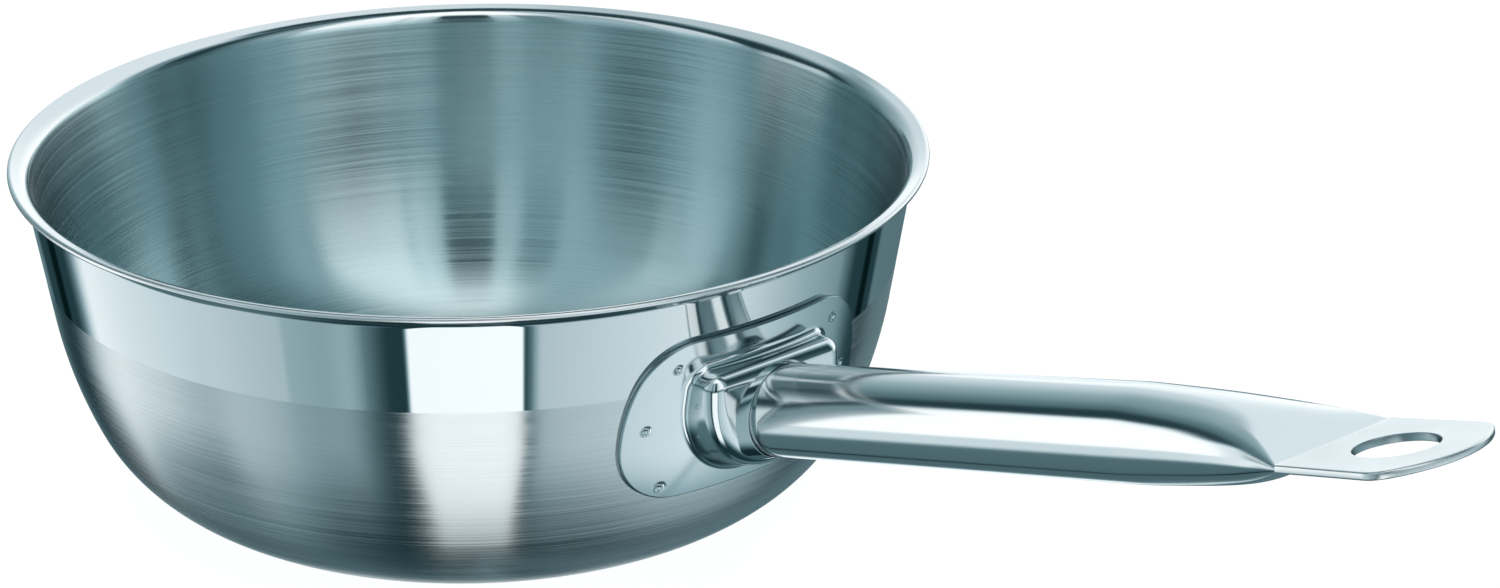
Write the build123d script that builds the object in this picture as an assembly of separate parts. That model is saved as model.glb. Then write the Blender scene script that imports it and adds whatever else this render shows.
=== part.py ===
from build123d import *
import math
import os

# Saucier pan. Millimetres, +Z up, the handle along +X.
# The origin is the centre of the flat base, on the surface that the pan stands on.

# Bowl: clad sheet, a stainless skin on each side of an aluminium core
bowl_height = 95.5
rim_radius = 125.0
skin_thickness = 0.4
core_thickness = 1.0
base_corner_radius = 35.0
base_corner_slope = 25.0
belly_radius = 45.6
belly_slope = 65.3
shoulder_radius = 120.0
wall_slope = 80.4

# Pouring lip, bent outward from the wall
lip_bend_radius = 3.0
lip_slope = 19.0
lip_flange = 1.8

# Handle axis: its height where it leaves the boss, and how steeply it climbs
handle_height = 57.3
handle_slope = 15.4

# Handle tube, round at the bowl and pressed flat at its end
tube_radius = 12.1
tube_wall = 1.0
tube_insertion = 3.2
round_length = 129.0
press_length = 60.5

# Shares along the pressed length: half height left, sideways spread gained, width of the tight side arcs
press_length_shares = (0.0, 0.2, 0.4, 0.6, 0.8, 0.9, 1.0)
press_height_shares = (1.0, 0.96, 0.895, 0.78, 0.52, 0.28, 0.0)
press_spread_shares = (0.0, 0.04, 0.115, 0.27, 0.56, 0.77, 1.0)
round_join_share = 0.5
press_join_shares = (round_join_share, 0.48, 0.44, 0.38, 0.30, 0.22, 0.12)

# Hanging tab: the two walls of the tube, pressed together
tab_half_width = 19.9
tab_flare = 0.8
tab_tip_radius = 28.5
tab_tip_centre = 9.4
tab_corner_radius = 7.0
tab_edge_radius = 0.6
hang_hole_radius = 10.0
hang_hole_distance = 18.6
hang_hole_edge_radius = 0.25

# Bracket plate, pressed to hug the wall; its heights are from the handle axis at the boss
plate_thickness = 1.5
plate_half_width = 39.8
plate_above_axis = 22.7
plate_below_axis = 23.6
plate_widest_drop = 3.2
plate_side_radius = 42.0
plate_top_corner_radius = 17.5
plate_bottom_corner_radius = 19.0

# Boss: the hollow box drawn out of the plate, square above and round below
boss_rise = 10.1
boss_half_width = 22.2
boss_centre_lift = 7.7
boss_straight_height = 6.2
boss_corner_radius = 4.8
boss_side_draft = 1.2
boss_bottom_draft = 2.5
boss_inner_edge_radius = 2.4
boss_root_radius = 2.0

# Ring of weld between the boss and the tube
weld_length = 1.6
weld_side_width = 4.4
weld_top_width = 0.6
weld_toe = 0.2
weld_waist_share = 0.35

# Spot welds through the plate, on each side of the handle: how far sideways, and above or below its axis
spot_radius = 1.3
spot_pit_radius = 1.0
spot_pit_depth = 0.4
upper_spot_side = 26.4
upper_spot_above = 15.7
middle_spot_side = 33.4
middle_spot_below = 0.8
lower_spot_side = 26.8
lower_spot_below = 19.0

# One overrun for every cut that passes right through
overrun = 5.0

wall_thickness = skin_thickness + core_thickness + skin_thickness
handle_cos, handle_sin = math.cos(math.radians(handle_slope)), math.sin(math.radians(handle_slope))
lip_cos, lip_sin = math.cos(math.radians(lip_slope)), math.sin(math.radians(lip_slope))

# The arcs of the outside of the bowl from base to wall: radius, slope at the start, slope at the end
wall_arcs = (
    (base_corner_radius, 0, base_corner_slope),
    (belly_radius, base_corner_slope, belly_slope),
    (shoulder_radius, belly_slope, wall_slope),
)


def arc_travel(radius, start_slope, end_slope):
    """Outward and upward travel along an arc that turns from one slope to another."""
    start, end = math.radians(start_slope), math.radians(end_slope)
    return radius * (math.sin(end) - math.sin(start)), radius * (math.cos(start) - math.cos(end))


def bowl_layout():
    """Radius of the flat base and length of the straight wall, as the arcs and the lip leave them."""
    half = wall_thickness / 2
    bend_out, bend_up = arc_travel(-lip_bend_radius, wall_slope, lip_slope)
    used_out = bend_out + lip_flange * lip_cos + half * (1 - lip_sin)
    used_up = bend_up + lip_flange * lip_sin + half * (1 + lip_cos)
    for arc in wall_arcs:
        out, up = arc_travel(*arc)
        used_out += out
        used_up += up
    straight = (bowl_height - used_up) / math.sin(math.radians(wall_slope))
    return rim_radius - used_out - straight * math.cos(math.radians(wall_slope)), straight


base_radius, straight_wall = bowl_layout()


def wall_at(height):
    """Radius and slope of the outside of the bowl at a height below the lip."""
    radius, level = base_radius, 0
    for arc_radius, start, end in wall_arcs:
        out, up = arc_travel(arc_radius, start, end)
        if height <= level + up:
            slope = math.degrees(math.acos(math.cos(math.radians(start)) - (height - level) / arc_radius))
            return radius + arc_travel(arc_radius, start, slope)[0], slope
        radius += out
        level += up
    return radius + (height - level) / math.tan(math.radians(wall_slope)), wall_slope


boss_front = wall_at(handle_height)[0] + boss_rise
handle_frame = Plane(
    origin=(boss_front, 0, handle_height),
    x_dir=(0, 1, 0),
    z_dir=(handle_cos, 0, handle_sin),
)


def facing(distance):
    """Plane that faces along +X, level with the handle axis, at a distance from the bowl's axis."""
    return Plane(origin=(distance, 0, handle_height), x_dir=(0, 1, 0), z_dir=(1, 0, 0))


# Bowl


def wall_line(depth):
    """One surface of the sheet from the axis to the foot of the lip, at a depth inward from the outside."""
    edges = [Line((0, depth), (base_radius, depth))]
    for radius, start, end in wall_arcs:
        edges.append(JernArc(edges[-1] @ 1, edges[-1] % 1, radius - depth, end - start))
    edges.append(PolarLine(edges[-1] @ 1, straight_wall, wall_slope))
    return edges


def lip_round(depth):
    """How far the rounded lip edge stands past the flange at a depth in the sheet."""
    half = wall_thickness / 2
    return math.sqrt(max(half**2 - (depth - half) ** 2, 0))


def sheet_line(depth):
    """One surface of the sheet from the axis to the edge of the lip."""
    edges = wall_line(depth)
    edges.append(JernArc(edges[-1] @ 1, edges[-1] % 1, lip_bend_radius + depth, lip_slope - wall_slope))
    edges.append(PolarLine(edges[-1] @ 1, lip_flange + lip_round(depth), lip_slope))
    return edges


def bowl_layer(outer_depth, inner_depth):
    """A layer of the bowl between two depths of its sheet, with its part of the rounded lip edge."""
    outer, inner = sheet_line(outer_depth), sheet_line(inner_depth)
    middle = (outer_depth + inner_depth) / 2
    along, across = Vector(lip_cos, lip_sin), Vector(-lip_sin, lip_cos)
    reach = lip_round(middle) - lip_round(outer_depth)
    crown = outer[-1] @ 1 + along * reach + across * (middle - outer_depth)
    edge = ThreePointArc(outer[-1] @ 1, crown, inner[-1] @ 1)
    centre_line = Line((0, outer_depth), (0, inner_depth))
    return revolve(Plane.XZ * make_face([*outer, edge, *inner, centre_line]), Axis.Z)


def bowl_block():
    """All that lies inside the outside surface of the bowl, up to the foot of the lip."""
    outer = wall_line(0)
    top = outer[-1] @ 1
    ends = [Line(top, (0, top.Y)), Line((0, top.Y), (0, 0))]
    return revolve(Plane.XZ * make_face([*outer, *ends]), Axis.Z)


# Bracket


def wall_band():
    """A shell as thick as the plate that lies on the outside of the bowl, around the handle."""
    narrowest = wall_at(handle_height - plate_below_axis)[0]
    half_turn = math.degrees(math.asin((plate_half_width + overrun) / narrowest))
    outer, inner = wall_line(-plate_thickness), wall_line(0)
    ends = [Line(outer[0] @ 0, inner[0] @ 0), Line(outer[-1] @ 1, inner[-1] @ 1)]
    section = Plane.XZ * make_face([*outer, *inner, *ends])
    return Rot(0, 0, -half_turn) * revolve(section, Axis.Z, 2 * half_turn)


def plate_outline():
    """Outline of the plate: three tangent arcs down each side, straight across above and below."""
    side = Vector(plate_half_width - plate_side_radius, -plate_widest_drop)
    top_y = plate_above_axis - plate_top_corner_radius
    bottom_y = plate_bottom_corner_radius - plate_below_axis
    top_x = side.X + math.sqrt((plate_side_radius - plate_top_corner_radius) ** 2 - (top_y - side.Y) ** 2)
    bottom_x = side.X + math.sqrt(
        (plate_side_radius - plate_bottom_corner_radius) ** 2 - (side.Y - bottom_y) ** 2
    )
    top_angle = math.degrees(math.atan2(top_y - side.Y, top_x - side.X))
    bottom_angle = math.degrees(math.atan2(bottom_y - side.Y, bottom_x - side.X))
    right = [
        CenterArc((bottom_x, bottom_y), plate_bottom_corner_radius, -90, 90 + bottom_angle),
        CenterArc(side, plate_side_radius, bottom_angle, top_angle - bottom_angle),
        CenterArc((top_x, top_y), plate_top_corner_radius, top_angle, 90 - top_angle),
    ]
    left = [mirror(arc, Plane.YZ) for arc in right]
    above = Line((-top_x, plate_above_axis), (top_x, plate_above_axis))
    below = Line((-bottom_x, -plate_below_axis), (bottom_x, -plate_below_axis))
    return make_face([*right, *left, above, below])


def boss_outline(behind, inset):
    """Outline of the boss at a distance behind its front, drawn in by an inset."""
    half_width = boss_half_width + boss_side_draft * behind / boss_rise - inset
    centre_y = boss_centre_lift - boss_bottom_draft * behind / boss_rise
    corner_radius = boss_corner_radius - inset
    corner_x = half_width - corner_radius
    corner_y = boss_centre_lift + boss_straight_height - boss_corner_radius
    right = [
        CenterArc((0, centre_y), half_width, -90, 90),
        Line((half_width, centre_y), (half_width, corner_y)),
        CenterArc((corner_x, corner_y), corner_radius, 0, 90),
    ]
    left = [mirror(edge, Plane.YZ) for edge in right]
    top_y = corner_y + corner_radius
    return make_face([*right, *left, Line((-corner_x, top_y), (corner_x, top_y))])


def boss_block(inset):
    """The boss as a solid block with rounded front edges, drawn in on every side by an inset."""
    depth = boss_front - wall_at(handle_height - plate_below_axis)[0] + overrun
    root = facing(boss_front - depth) * boss_outline(depth, inset)
    front = facing(boss_front - inset) * boss_outline(inset, inset)
    block = loft([root, front])
    front_edges = block.faces().sort_by(Axis.X)[-1].edges()
    return fillet(front_edges, boss_inner_edge_radius + plate_thickness - inset)


def spot_frame(sideways, above):
    """Plane on the outside of the bowl at a spot weld, facing outward."""
    radius, slope = wall_at(handle_height + above)
    turn = math.asin(sideways / radius)
    outward = math.sin(math.radians(slope))
    normal = (outward * math.cos(turn), outward * math.sin(turn), -math.cos(math.radians(slope)))
    return Plane(origin=(radius * math.cos(turn), sideways, handle_height + above), z_dir=normal)


def spot_frames():
    """The planes of the spot welds on both sides of the handle."""
    right = (
        (upper_spot_side, upper_spot_above),
        (middle_spot_side, -middle_spot_below),
        (lower_spot_side, -lower_spot_below),
    )
    return [spot_frame(side * sideways, above) for sideways, above in right for side in (-1, 1)]


def spot_core(frame):
    """The round plug of plate that one spot weld takes up."""
    return frame * Cylinder(spot_radius, 2 * overrun)


def spot_welds():
    """The spot welds: plugs of the plate's own thickness, each with a small pressed pit."""
    band = wall_band()
    pit_ball = (spot_pit_radius**2 + spot_pit_depth**2) / (2 * spot_pit_depth)
    pit_height = plate_thickness - spot_pit_depth + pit_ball
    welds = []
    for frame in spot_frames():
        plug = (band & spot_core(frame)) - frame * Pos(0, 0, pit_height) * Sphere(pit_ball)
        welds.append(plug.solid())
    return Compound(welds)


def handle_bracket():
    """The pressed plate with its hollow boss, the hole for the tube and the places of the spot welds."""
    prism = extrude(facing(base_radius) * plate_outline(), boss_front - base_radius)
    plate = wall_band() & prism
    boss = boss_block(0) - bowl_block()
    pressing = plate + boss
    root_edges = new_edges(plate, boss, combined=pressing)
    pressing = fillet(root_edges, boss_root_radius)
    pressing -= boss_block(plate_thickness)
    pressing -= handle_frame * Cylinder(tube_radius, 2 * boss_rise)
    for frame in spot_frames():
        pressing -= spot_core(frame)
    return pressing.solid()


# Handle


def pressed_oval(half_width, half_height, join_share):
    """A closed outline of four tangent arcs: a broad one above and below, a tight one at each side."""
    join = join_share * 2 * math.atan(half_height / half_width)
    spread = (half_width - half_height) / (math.sin(join) + math.cos(join) - 1)
    side_radius = half_width - spread * math.sin(join)
    broad_radius = side_radius + spread
    join_degrees = math.degrees(join)
    side_x = half_width - side_radius
    broad_y = half_height - broad_radius
    arcs = [
        CenterArc((side_x, 0), side_radius, join_degrees - 90, 180 - 2 * join_degrees),
        CenterArc((0, broad_y), broad_radius, 90 - join_degrees, 2 * join_degrees),
        CenterArc((-side_x, 0), side_radius, 90 + join_degrees, 180 - 2 * join_degrees),
        CenterArc((0, -broad_y), broad_radius, 270 - join_degrees, 2 * join_degrees),
    ]
    return make_face(arcs)


def pressed_end(inset, stations):
    """The pressed length of the tube as a loft through its first stations, drawn in by an inset."""
    sections = []
    for index in range(stations):
        distance = round_length + press_length * press_length_shares[index]
        half_height = tube_wall + (tube_radius - tube_wall) * press_height_shares[index]
        half_width = tube_radius + (tab_half_width - tube_radius) * press_spread_shares[index]
        outline = pressed_oval(half_width - inset, half_height - inset, press_join_shares[index])
        sections.append(handle_frame.offset(distance) * outline)
    return loft(sections)


def round_rod(radius, start, end):
    """A round rod on the handle axis between two distances from the boss."""
    return extrude(handle_frame.offset(start) * Circle(radius), end - start)


def hanging_tab():
    """The flat tab: straight sides that flare a little, an arc at the tip and a round hanging hole."""
    far_half_width = tab_half_width + tab_flare
    side_length = tab_tip_centre + math.sqrt(tab_tip_radius**2 - far_half_width**2)
    corners = [
        Line((0, -tab_half_width), (0, tab_half_width)),
        Line((0, tab_half_width), (side_length, far_half_width)),
        ThreePointArc(
            (side_length, far_half_width),
            (tab_tip_centre + tab_tip_radius, 0),
            (side_length, -far_half_width),
        ),
        Line((side_length, -far_half_width), (0, -tab_half_width)),
    ]
    outline = make_face(corners)
    outline = fillet(outline.vertices().sort_by(Axis.X)[-2:], tab_corner_radius)
    tab = extrude(outline, tube_wall, both=True)
    level_edges = tab.edges().filter_by(Axis.Z, reverse=True)
    rim_edges = [edge for edge in level_edges if edge.center().X > tab_edge_radius]
    tab = fillet(rim_edges, tab_edge_radius)
    tab -= Pos(hang_hole_distance, 0, 0) * Cylinder(hang_hole_radius, overrun)
    hole_edges = tab.edges().filter_by(GeomType.CIRCLE).filter_by(
        lambda edge: abs(edge.radius - hang_hole_radius) < hang_hole_edge_radius
    )
    tab = fillet(hole_edges, hang_hole_edge_radius)
    crease = handle_frame.offset(round_length + press_length).origin
    return Plane(origin=crease, x_dir=handle_frame.z_dir, z_dir=handle_frame.y_dir) * tab


def handle_tube():
    """The hollow tube: its open end cut upright inside the boss, its far end pressed shut into the tab."""
    start = -(tube_insertion + tube_radius * handle_sin) / handle_cos - overrun
    outside = round_rod(tube_radius, start, round_length)
    outside += pressed_end(0, len(press_length_shares))
    bore = round_rod(tube_radius - tube_wall, start, round_length)
    bore += pressed_end(tube_wall, len(press_length_shares) - 1)
    tube = outside - bore + hanging_tab()
    return split(tube, bisect_by=facing(boss_front - tube_insertion), keep=Keep.TOP).solid()


def weld_outline(distance, width_share):
    """Upright outline of the weld at a distance past the boss front, round the climbing tube."""
    rise = distance * handle_sin / handle_cos
    half_width = tube_radius + weld_toe + (weld_side_width - weld_toe) * width_share
    half_height = tube_radius / handle_cos + weld_toe + (weld_top_width - weld_toe) * width_share
    plane = facing(boss_front + distance) * Pos(0, rise, 0)
    return plane * pressed_oval(half_width, half_height, round_join_share)


def socket_weld(bracket):
    """The ring of weld in the corner between the boss and the tube, hollowed towards the tube."""
    sections = [
        weld_outline(-plate_thickness / 2, 1),
        weld_outline(weld_length / 2, weld_waist_share),
        weld_outline(weld_length, 0),
    ]
    start = -(weld_length + tube_radius * handle_sin) / handle_cos - overrun
    ring = loft(sections) - round_rod(tube_radius, start, -start)
    return (ring - bracket).solids().sort_by(SortBy.VOLUME)[-1]


def build():
    """Every sub-part by its node's name."""
    bracket = handle_bracket()
    return {
        "bowl_outer_skin": bowl_layer(0, skin_thickness),
        "bowl_core": bowl_layer(skin_thickness, skin_thickness + core_thickness),
        "bowl_inner_skin": bowl_layer(skin_thickness + core_thickness, wall_thickness),
        "handle_bracket": bracket,
        "spot_welds": spot_welds(),
        "handle_tube": handle_tube(),
        "socket_weld": socket_weld(bracket),
    }


os.makedirs("parts", exist_ok=True)
for name, shape in build().items():
    export_step(shape, f"parts/{name}.step")
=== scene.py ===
import logging
import math
from dataclasses import dataclass, field
from enum import Enum

import bpy
import numpy as np
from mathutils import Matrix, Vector


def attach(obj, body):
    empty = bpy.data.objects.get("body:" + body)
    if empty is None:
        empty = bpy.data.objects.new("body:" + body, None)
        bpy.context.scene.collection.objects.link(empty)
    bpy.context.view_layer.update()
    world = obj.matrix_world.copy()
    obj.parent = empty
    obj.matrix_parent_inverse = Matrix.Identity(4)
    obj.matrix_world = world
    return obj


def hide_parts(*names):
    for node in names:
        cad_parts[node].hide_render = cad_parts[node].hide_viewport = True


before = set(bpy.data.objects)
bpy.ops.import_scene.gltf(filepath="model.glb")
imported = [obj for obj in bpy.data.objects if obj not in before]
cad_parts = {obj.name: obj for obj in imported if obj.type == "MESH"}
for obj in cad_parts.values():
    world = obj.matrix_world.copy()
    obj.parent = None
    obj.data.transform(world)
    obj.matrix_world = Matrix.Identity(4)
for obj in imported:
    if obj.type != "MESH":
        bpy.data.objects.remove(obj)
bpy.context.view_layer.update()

# Deep saucier pan of clad steel with a pressed tubular handle, dressed for a studio picture.
# The pan's sizes are in millimetres and its angles in degrees; its meshes, finishes and studio are in metres.

BODY = "root"
MILLIMETRE = 0.001
Array = np.ndarray
Colour = tuple[float, float, float]
Socket = bpy.types.NodeSocket
Inputs = dict[str | int, object]
log = logging.getLogger("saucier_pan")


# Meshes


def steps(start: float, end: float, count: int) -> Array:
    """Evenly spaced values from start up to, but not including, end."""
    return np.linspace(start, end, count, endpoint=False)


def on_circle(angles: Array) -> Array:
    """Points of the unit circle at angles in radians: (cos a, sin a)."""
    return np.stack([np.cos(angles), np.sin(angles)], axis=-1)


def quarter_round(radius: float, count: int) -> Array:
    """Pairs of radius (1 - cos a) and radius (1 - sin a) for angles a from 0 to 90 degrees."""
    return radius * (1 - on_circle(np.radians(np.linspace(0, 90, count))))


def unit(vectors: Array) -> Array:
    """Vectors divided by their lengths."""
    return vectors / np.linalg.norm(vectors, axis=-1, keepdims=True)


def rows_between(first: Array, last: Array, shares: tuple[float, ...]) -> list[Array]:
    """Rows at shares of the straight way from one row to another."""
    return [first + (last - first) * share for share in shares]


@dataclass
class Shell:
    """One closed surface on a grid of rings.

    Args:
        rings: Points of shape (rings, columns, 3); each ring closes on itself.
        looped: True where the last ring joins the first, False where both ends close to a point.
        normals: Outward directions at the points, or None for the average of the faces around.
    """

    rings: Array
    looped: bool
    normals: Array | None = None

    def points(self) -> Array:
        """Every vertex once: the rings in order, then the two end points where the ends close.

        Returns:
            The vertices, shape (n, 3).
        """
        flat = self.rings.reshape(-1, 3)
        if self.looped:
            return flat
        return np.vstack([flat, self.rings[0].mean(axis=0), self.rings[-1].mean(axis=0)])

    def directions(self) -> Array:
        """The outward direction at every vertex, in the order of the points.

        Returns:
            Unit directions, shape (n, 3).
        """
        flat = self.normals.reshape(-1, 3)
        if self.looped:
            return flat
        ends = np.array([self.normals[0].mean(axis=0), self.normals[-1].mean(axis=0)])
        return np.vstack([flat, unit(ends)])

    def faces(self) -> tuple[Array, Array]:
        """Quads between neighbouring rings, and triangles that close the ends.

        Returns:
            Vertex numbers of the quads, shape (n, 4), and of the triangles, shape (m, 3), facing outwards.
        """
        rows, columns = self.rings.shape[:2]
        number = np.arange(rows * columns).reshape(rows, columns)
        ahead = np.roll(number, -1, axis=1)
        corners = [number, ahead, np.roll(ahead, -1, axis=0), np.roll(number, -1, axis=0)]
        fans = np.empty((0, 3), int)
        if not self.looped:
            corners = [corner[:-1] for corner in corners]
            first, last = np.full(columns, rows * columns), np.full(columns, rows * columns + 1)
            head = np.stack([first, ahead[0], number[0]], axis=-1)
            tail = np.stack([last, number[-1], ahead[-1]], axis=-1)
            fans = np.vstack([head, tail])
        quads = np.stack(corners, axis=-1).reshape(-1, 4)
        if self.volume(quads, fans) < 0:
            quads, fans = quads[:, ::-1], fans[:, ::-1]
        return quads, fans

    def volume(self, quads: Array, fans: Array) -> float:
        """Signed volume: a sixth of the sum, over the triangles, of corner dot (corner cross corner).

        Args:
            quads: Vertex numbers of the quads.
            fans: Vertex numbers of the triangles.

        Returns:
            The volume, positive where the faces point outwards.
        """
        corners = self.points()
        halves = np.vstack([quads[:, [0, 1, 2]], quads[:, [0, 2, 3]], fans])
        a, b, c = corners[halves[:, 0]], corners[halves[:, 1]], corners[halves[:, 2]]
        return float(np.sum(a * np.cross(b, c)) / 6)


def make_piece(name: str, shells: list[Shell], nodes: list[str]) -> bpy.types.Object:
    """Puts closed shells into one smooth mesh object that rides on the pan and stands for CAD nodes.

    Args:
        name: Name of the piece.
        shells: Its closed surfaces, in millimetres.
        nodes: The CAD nodes that it stands for.

    Returns:
        The new object, at the origin, with its place in its mesh.
    """
    points, quads, fans, start = [], [], [], 0
    for shell in shells:
        shell_quads, shell_fans = shell.faces()
        points.append(shell.points())
        quads.append(shell_quads + start)
        fans.append(shell_fans + start)
        start += len(points[-1])
    faces = np.vstack(quads).tolist() + np.vstack(fans).tolist()
    mesh = bpy.data.meshes.new(name)
    mesh.from_pydata((np.vstack(points) * MILLIMETRE).tolist(), [], faces)
    mesh.polygons.foreach_set("use_smooth", np.ones(len(mesh.polygons), bool))
    mesh.update()
    if all(shell.normals is not None for shell in shells):
        mesh.normals_split_custom_set_from_vertices(np.vstack([s.directions() for s in shells]).tolist())
    piece = bpy.data.objects.new(name, mesh)
    bpy.context.scene.collection.objects.link(piece)
    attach(piece, BODY)
    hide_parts(*nodes)
    log.info("%s: %d faces, stands for %s", name, len(mesh.polygons), ", ".join(nodes))
    return piece


def dress(piece: bpy.types.Object, *materials: bpy.types.Material) -> None:
    """Gives a piece its materials, in order.

    Args:
        piece: The piece.
        *materials: The materials.
    """
    for material in materials:
        piece.data.materials.append(material)
        log.info("%s is finished in %s", piece.name, material.name)


def smooth_table(places: Array, values: Array, wanted: Array) -> Array:
    """Reads a table along a cubic spline that starts level and ends with no bend.

    The second slopes at the places solve the usual equations of a spline: each span's slope
    change equals the change between its neighbours' chords. Between two places the value is the
    cubic that has those values and second slopes.

    Args:
        places: Places of the table, rising.
        values: Values at those places.
        wanted: Places where values are wanted.

    Returns:
        The values at the wanted places.
    """
    count = len(places)
    span, chord = np.diff(places), np.diff(values) / np.diff(places)
    matrix, right = np.zeros((count, count)), np.zeros(count)
    inner = np.arange(1, count - 1)
    matrix[inner, inner - 1], matrix[inner, inner + 1] = span[:-1], span[1:]
    matrix[inner, inner] = 2 * (span[:-1] + span[1:])
    right[inner] = 6 * np.diff(chord)
    matrix[0, 0], matrix[0, 1], right[0] = 2 * span[0], span[0], 6 * chord[0]
    matrix[-1, -1] = 1
    bend = np.linalg.solve(matrix, right)
    at = np.clip(np.searchsorted(places, wanted, side="right") - 1, 0, count - 2)
    left, ahead = wanted - places[at], places[at + 1] - wanted
    cubes = (bend[at] * ahead**3 + bend[at + 1] * left**3) / (6 * span[at])
    lines = (values[at] / span[at] - bend[at] * span[at] / 6) * ahead
    lines += (values[at + 1] / span[at] - bend[at + 1] * span[at] / 6) * left
    return cubes + lines


def four_arc_oval(
    half_width: float, half_height: float, join_share: float, counts: tuple[int, int]
) -> Array:
    """A closed oval of four tangent arcs: a tight one at each side, a broad one above and below.

    The arcs meet where the tangent leans by the join angle, which is a share of twice the angle
    of the oval's half diagonal. Side and broad radius follow from the two half sizes.

    Args:
        half_width: Half the width.
        half_height: Half the height.
        join_share: Width of the tight arcs, 0.5 where the oval is a circle.
        counts: Points on each side arc and on each broad arc.

    Returns:
        Points of shape (n, 2), from the lower end of the right side arc, turning left.
    """
    join = join_share * 2 * math.atan(half_height / half_width)
    spread = (half_width - half_height) / (math.sin(join) + math.cos(join) - 1)
    side = half_width - spread * math.sin(join)
    broad = side + spread
    tight = on_circle(steps(join - math.pi / 2, math.pi / 2 - join, counts[0]))
    wide = on_circle(steps(math.pi / 2 - join, math.pi / 2 + join, counts[1]))
    right = np.array([half_width - side, 0.0]) + side * tight
    above = np.array([0.0, half_height - broad]) + broad * wide
    return np.vstack([right, above, -right, -above])


# Bowl


class Side(Enum):
    """Which side of a layer of the sheet a line of its section follows, by the way it is drawn."""

    OUTSIDE = 1
    INSIDE = -1


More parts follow.
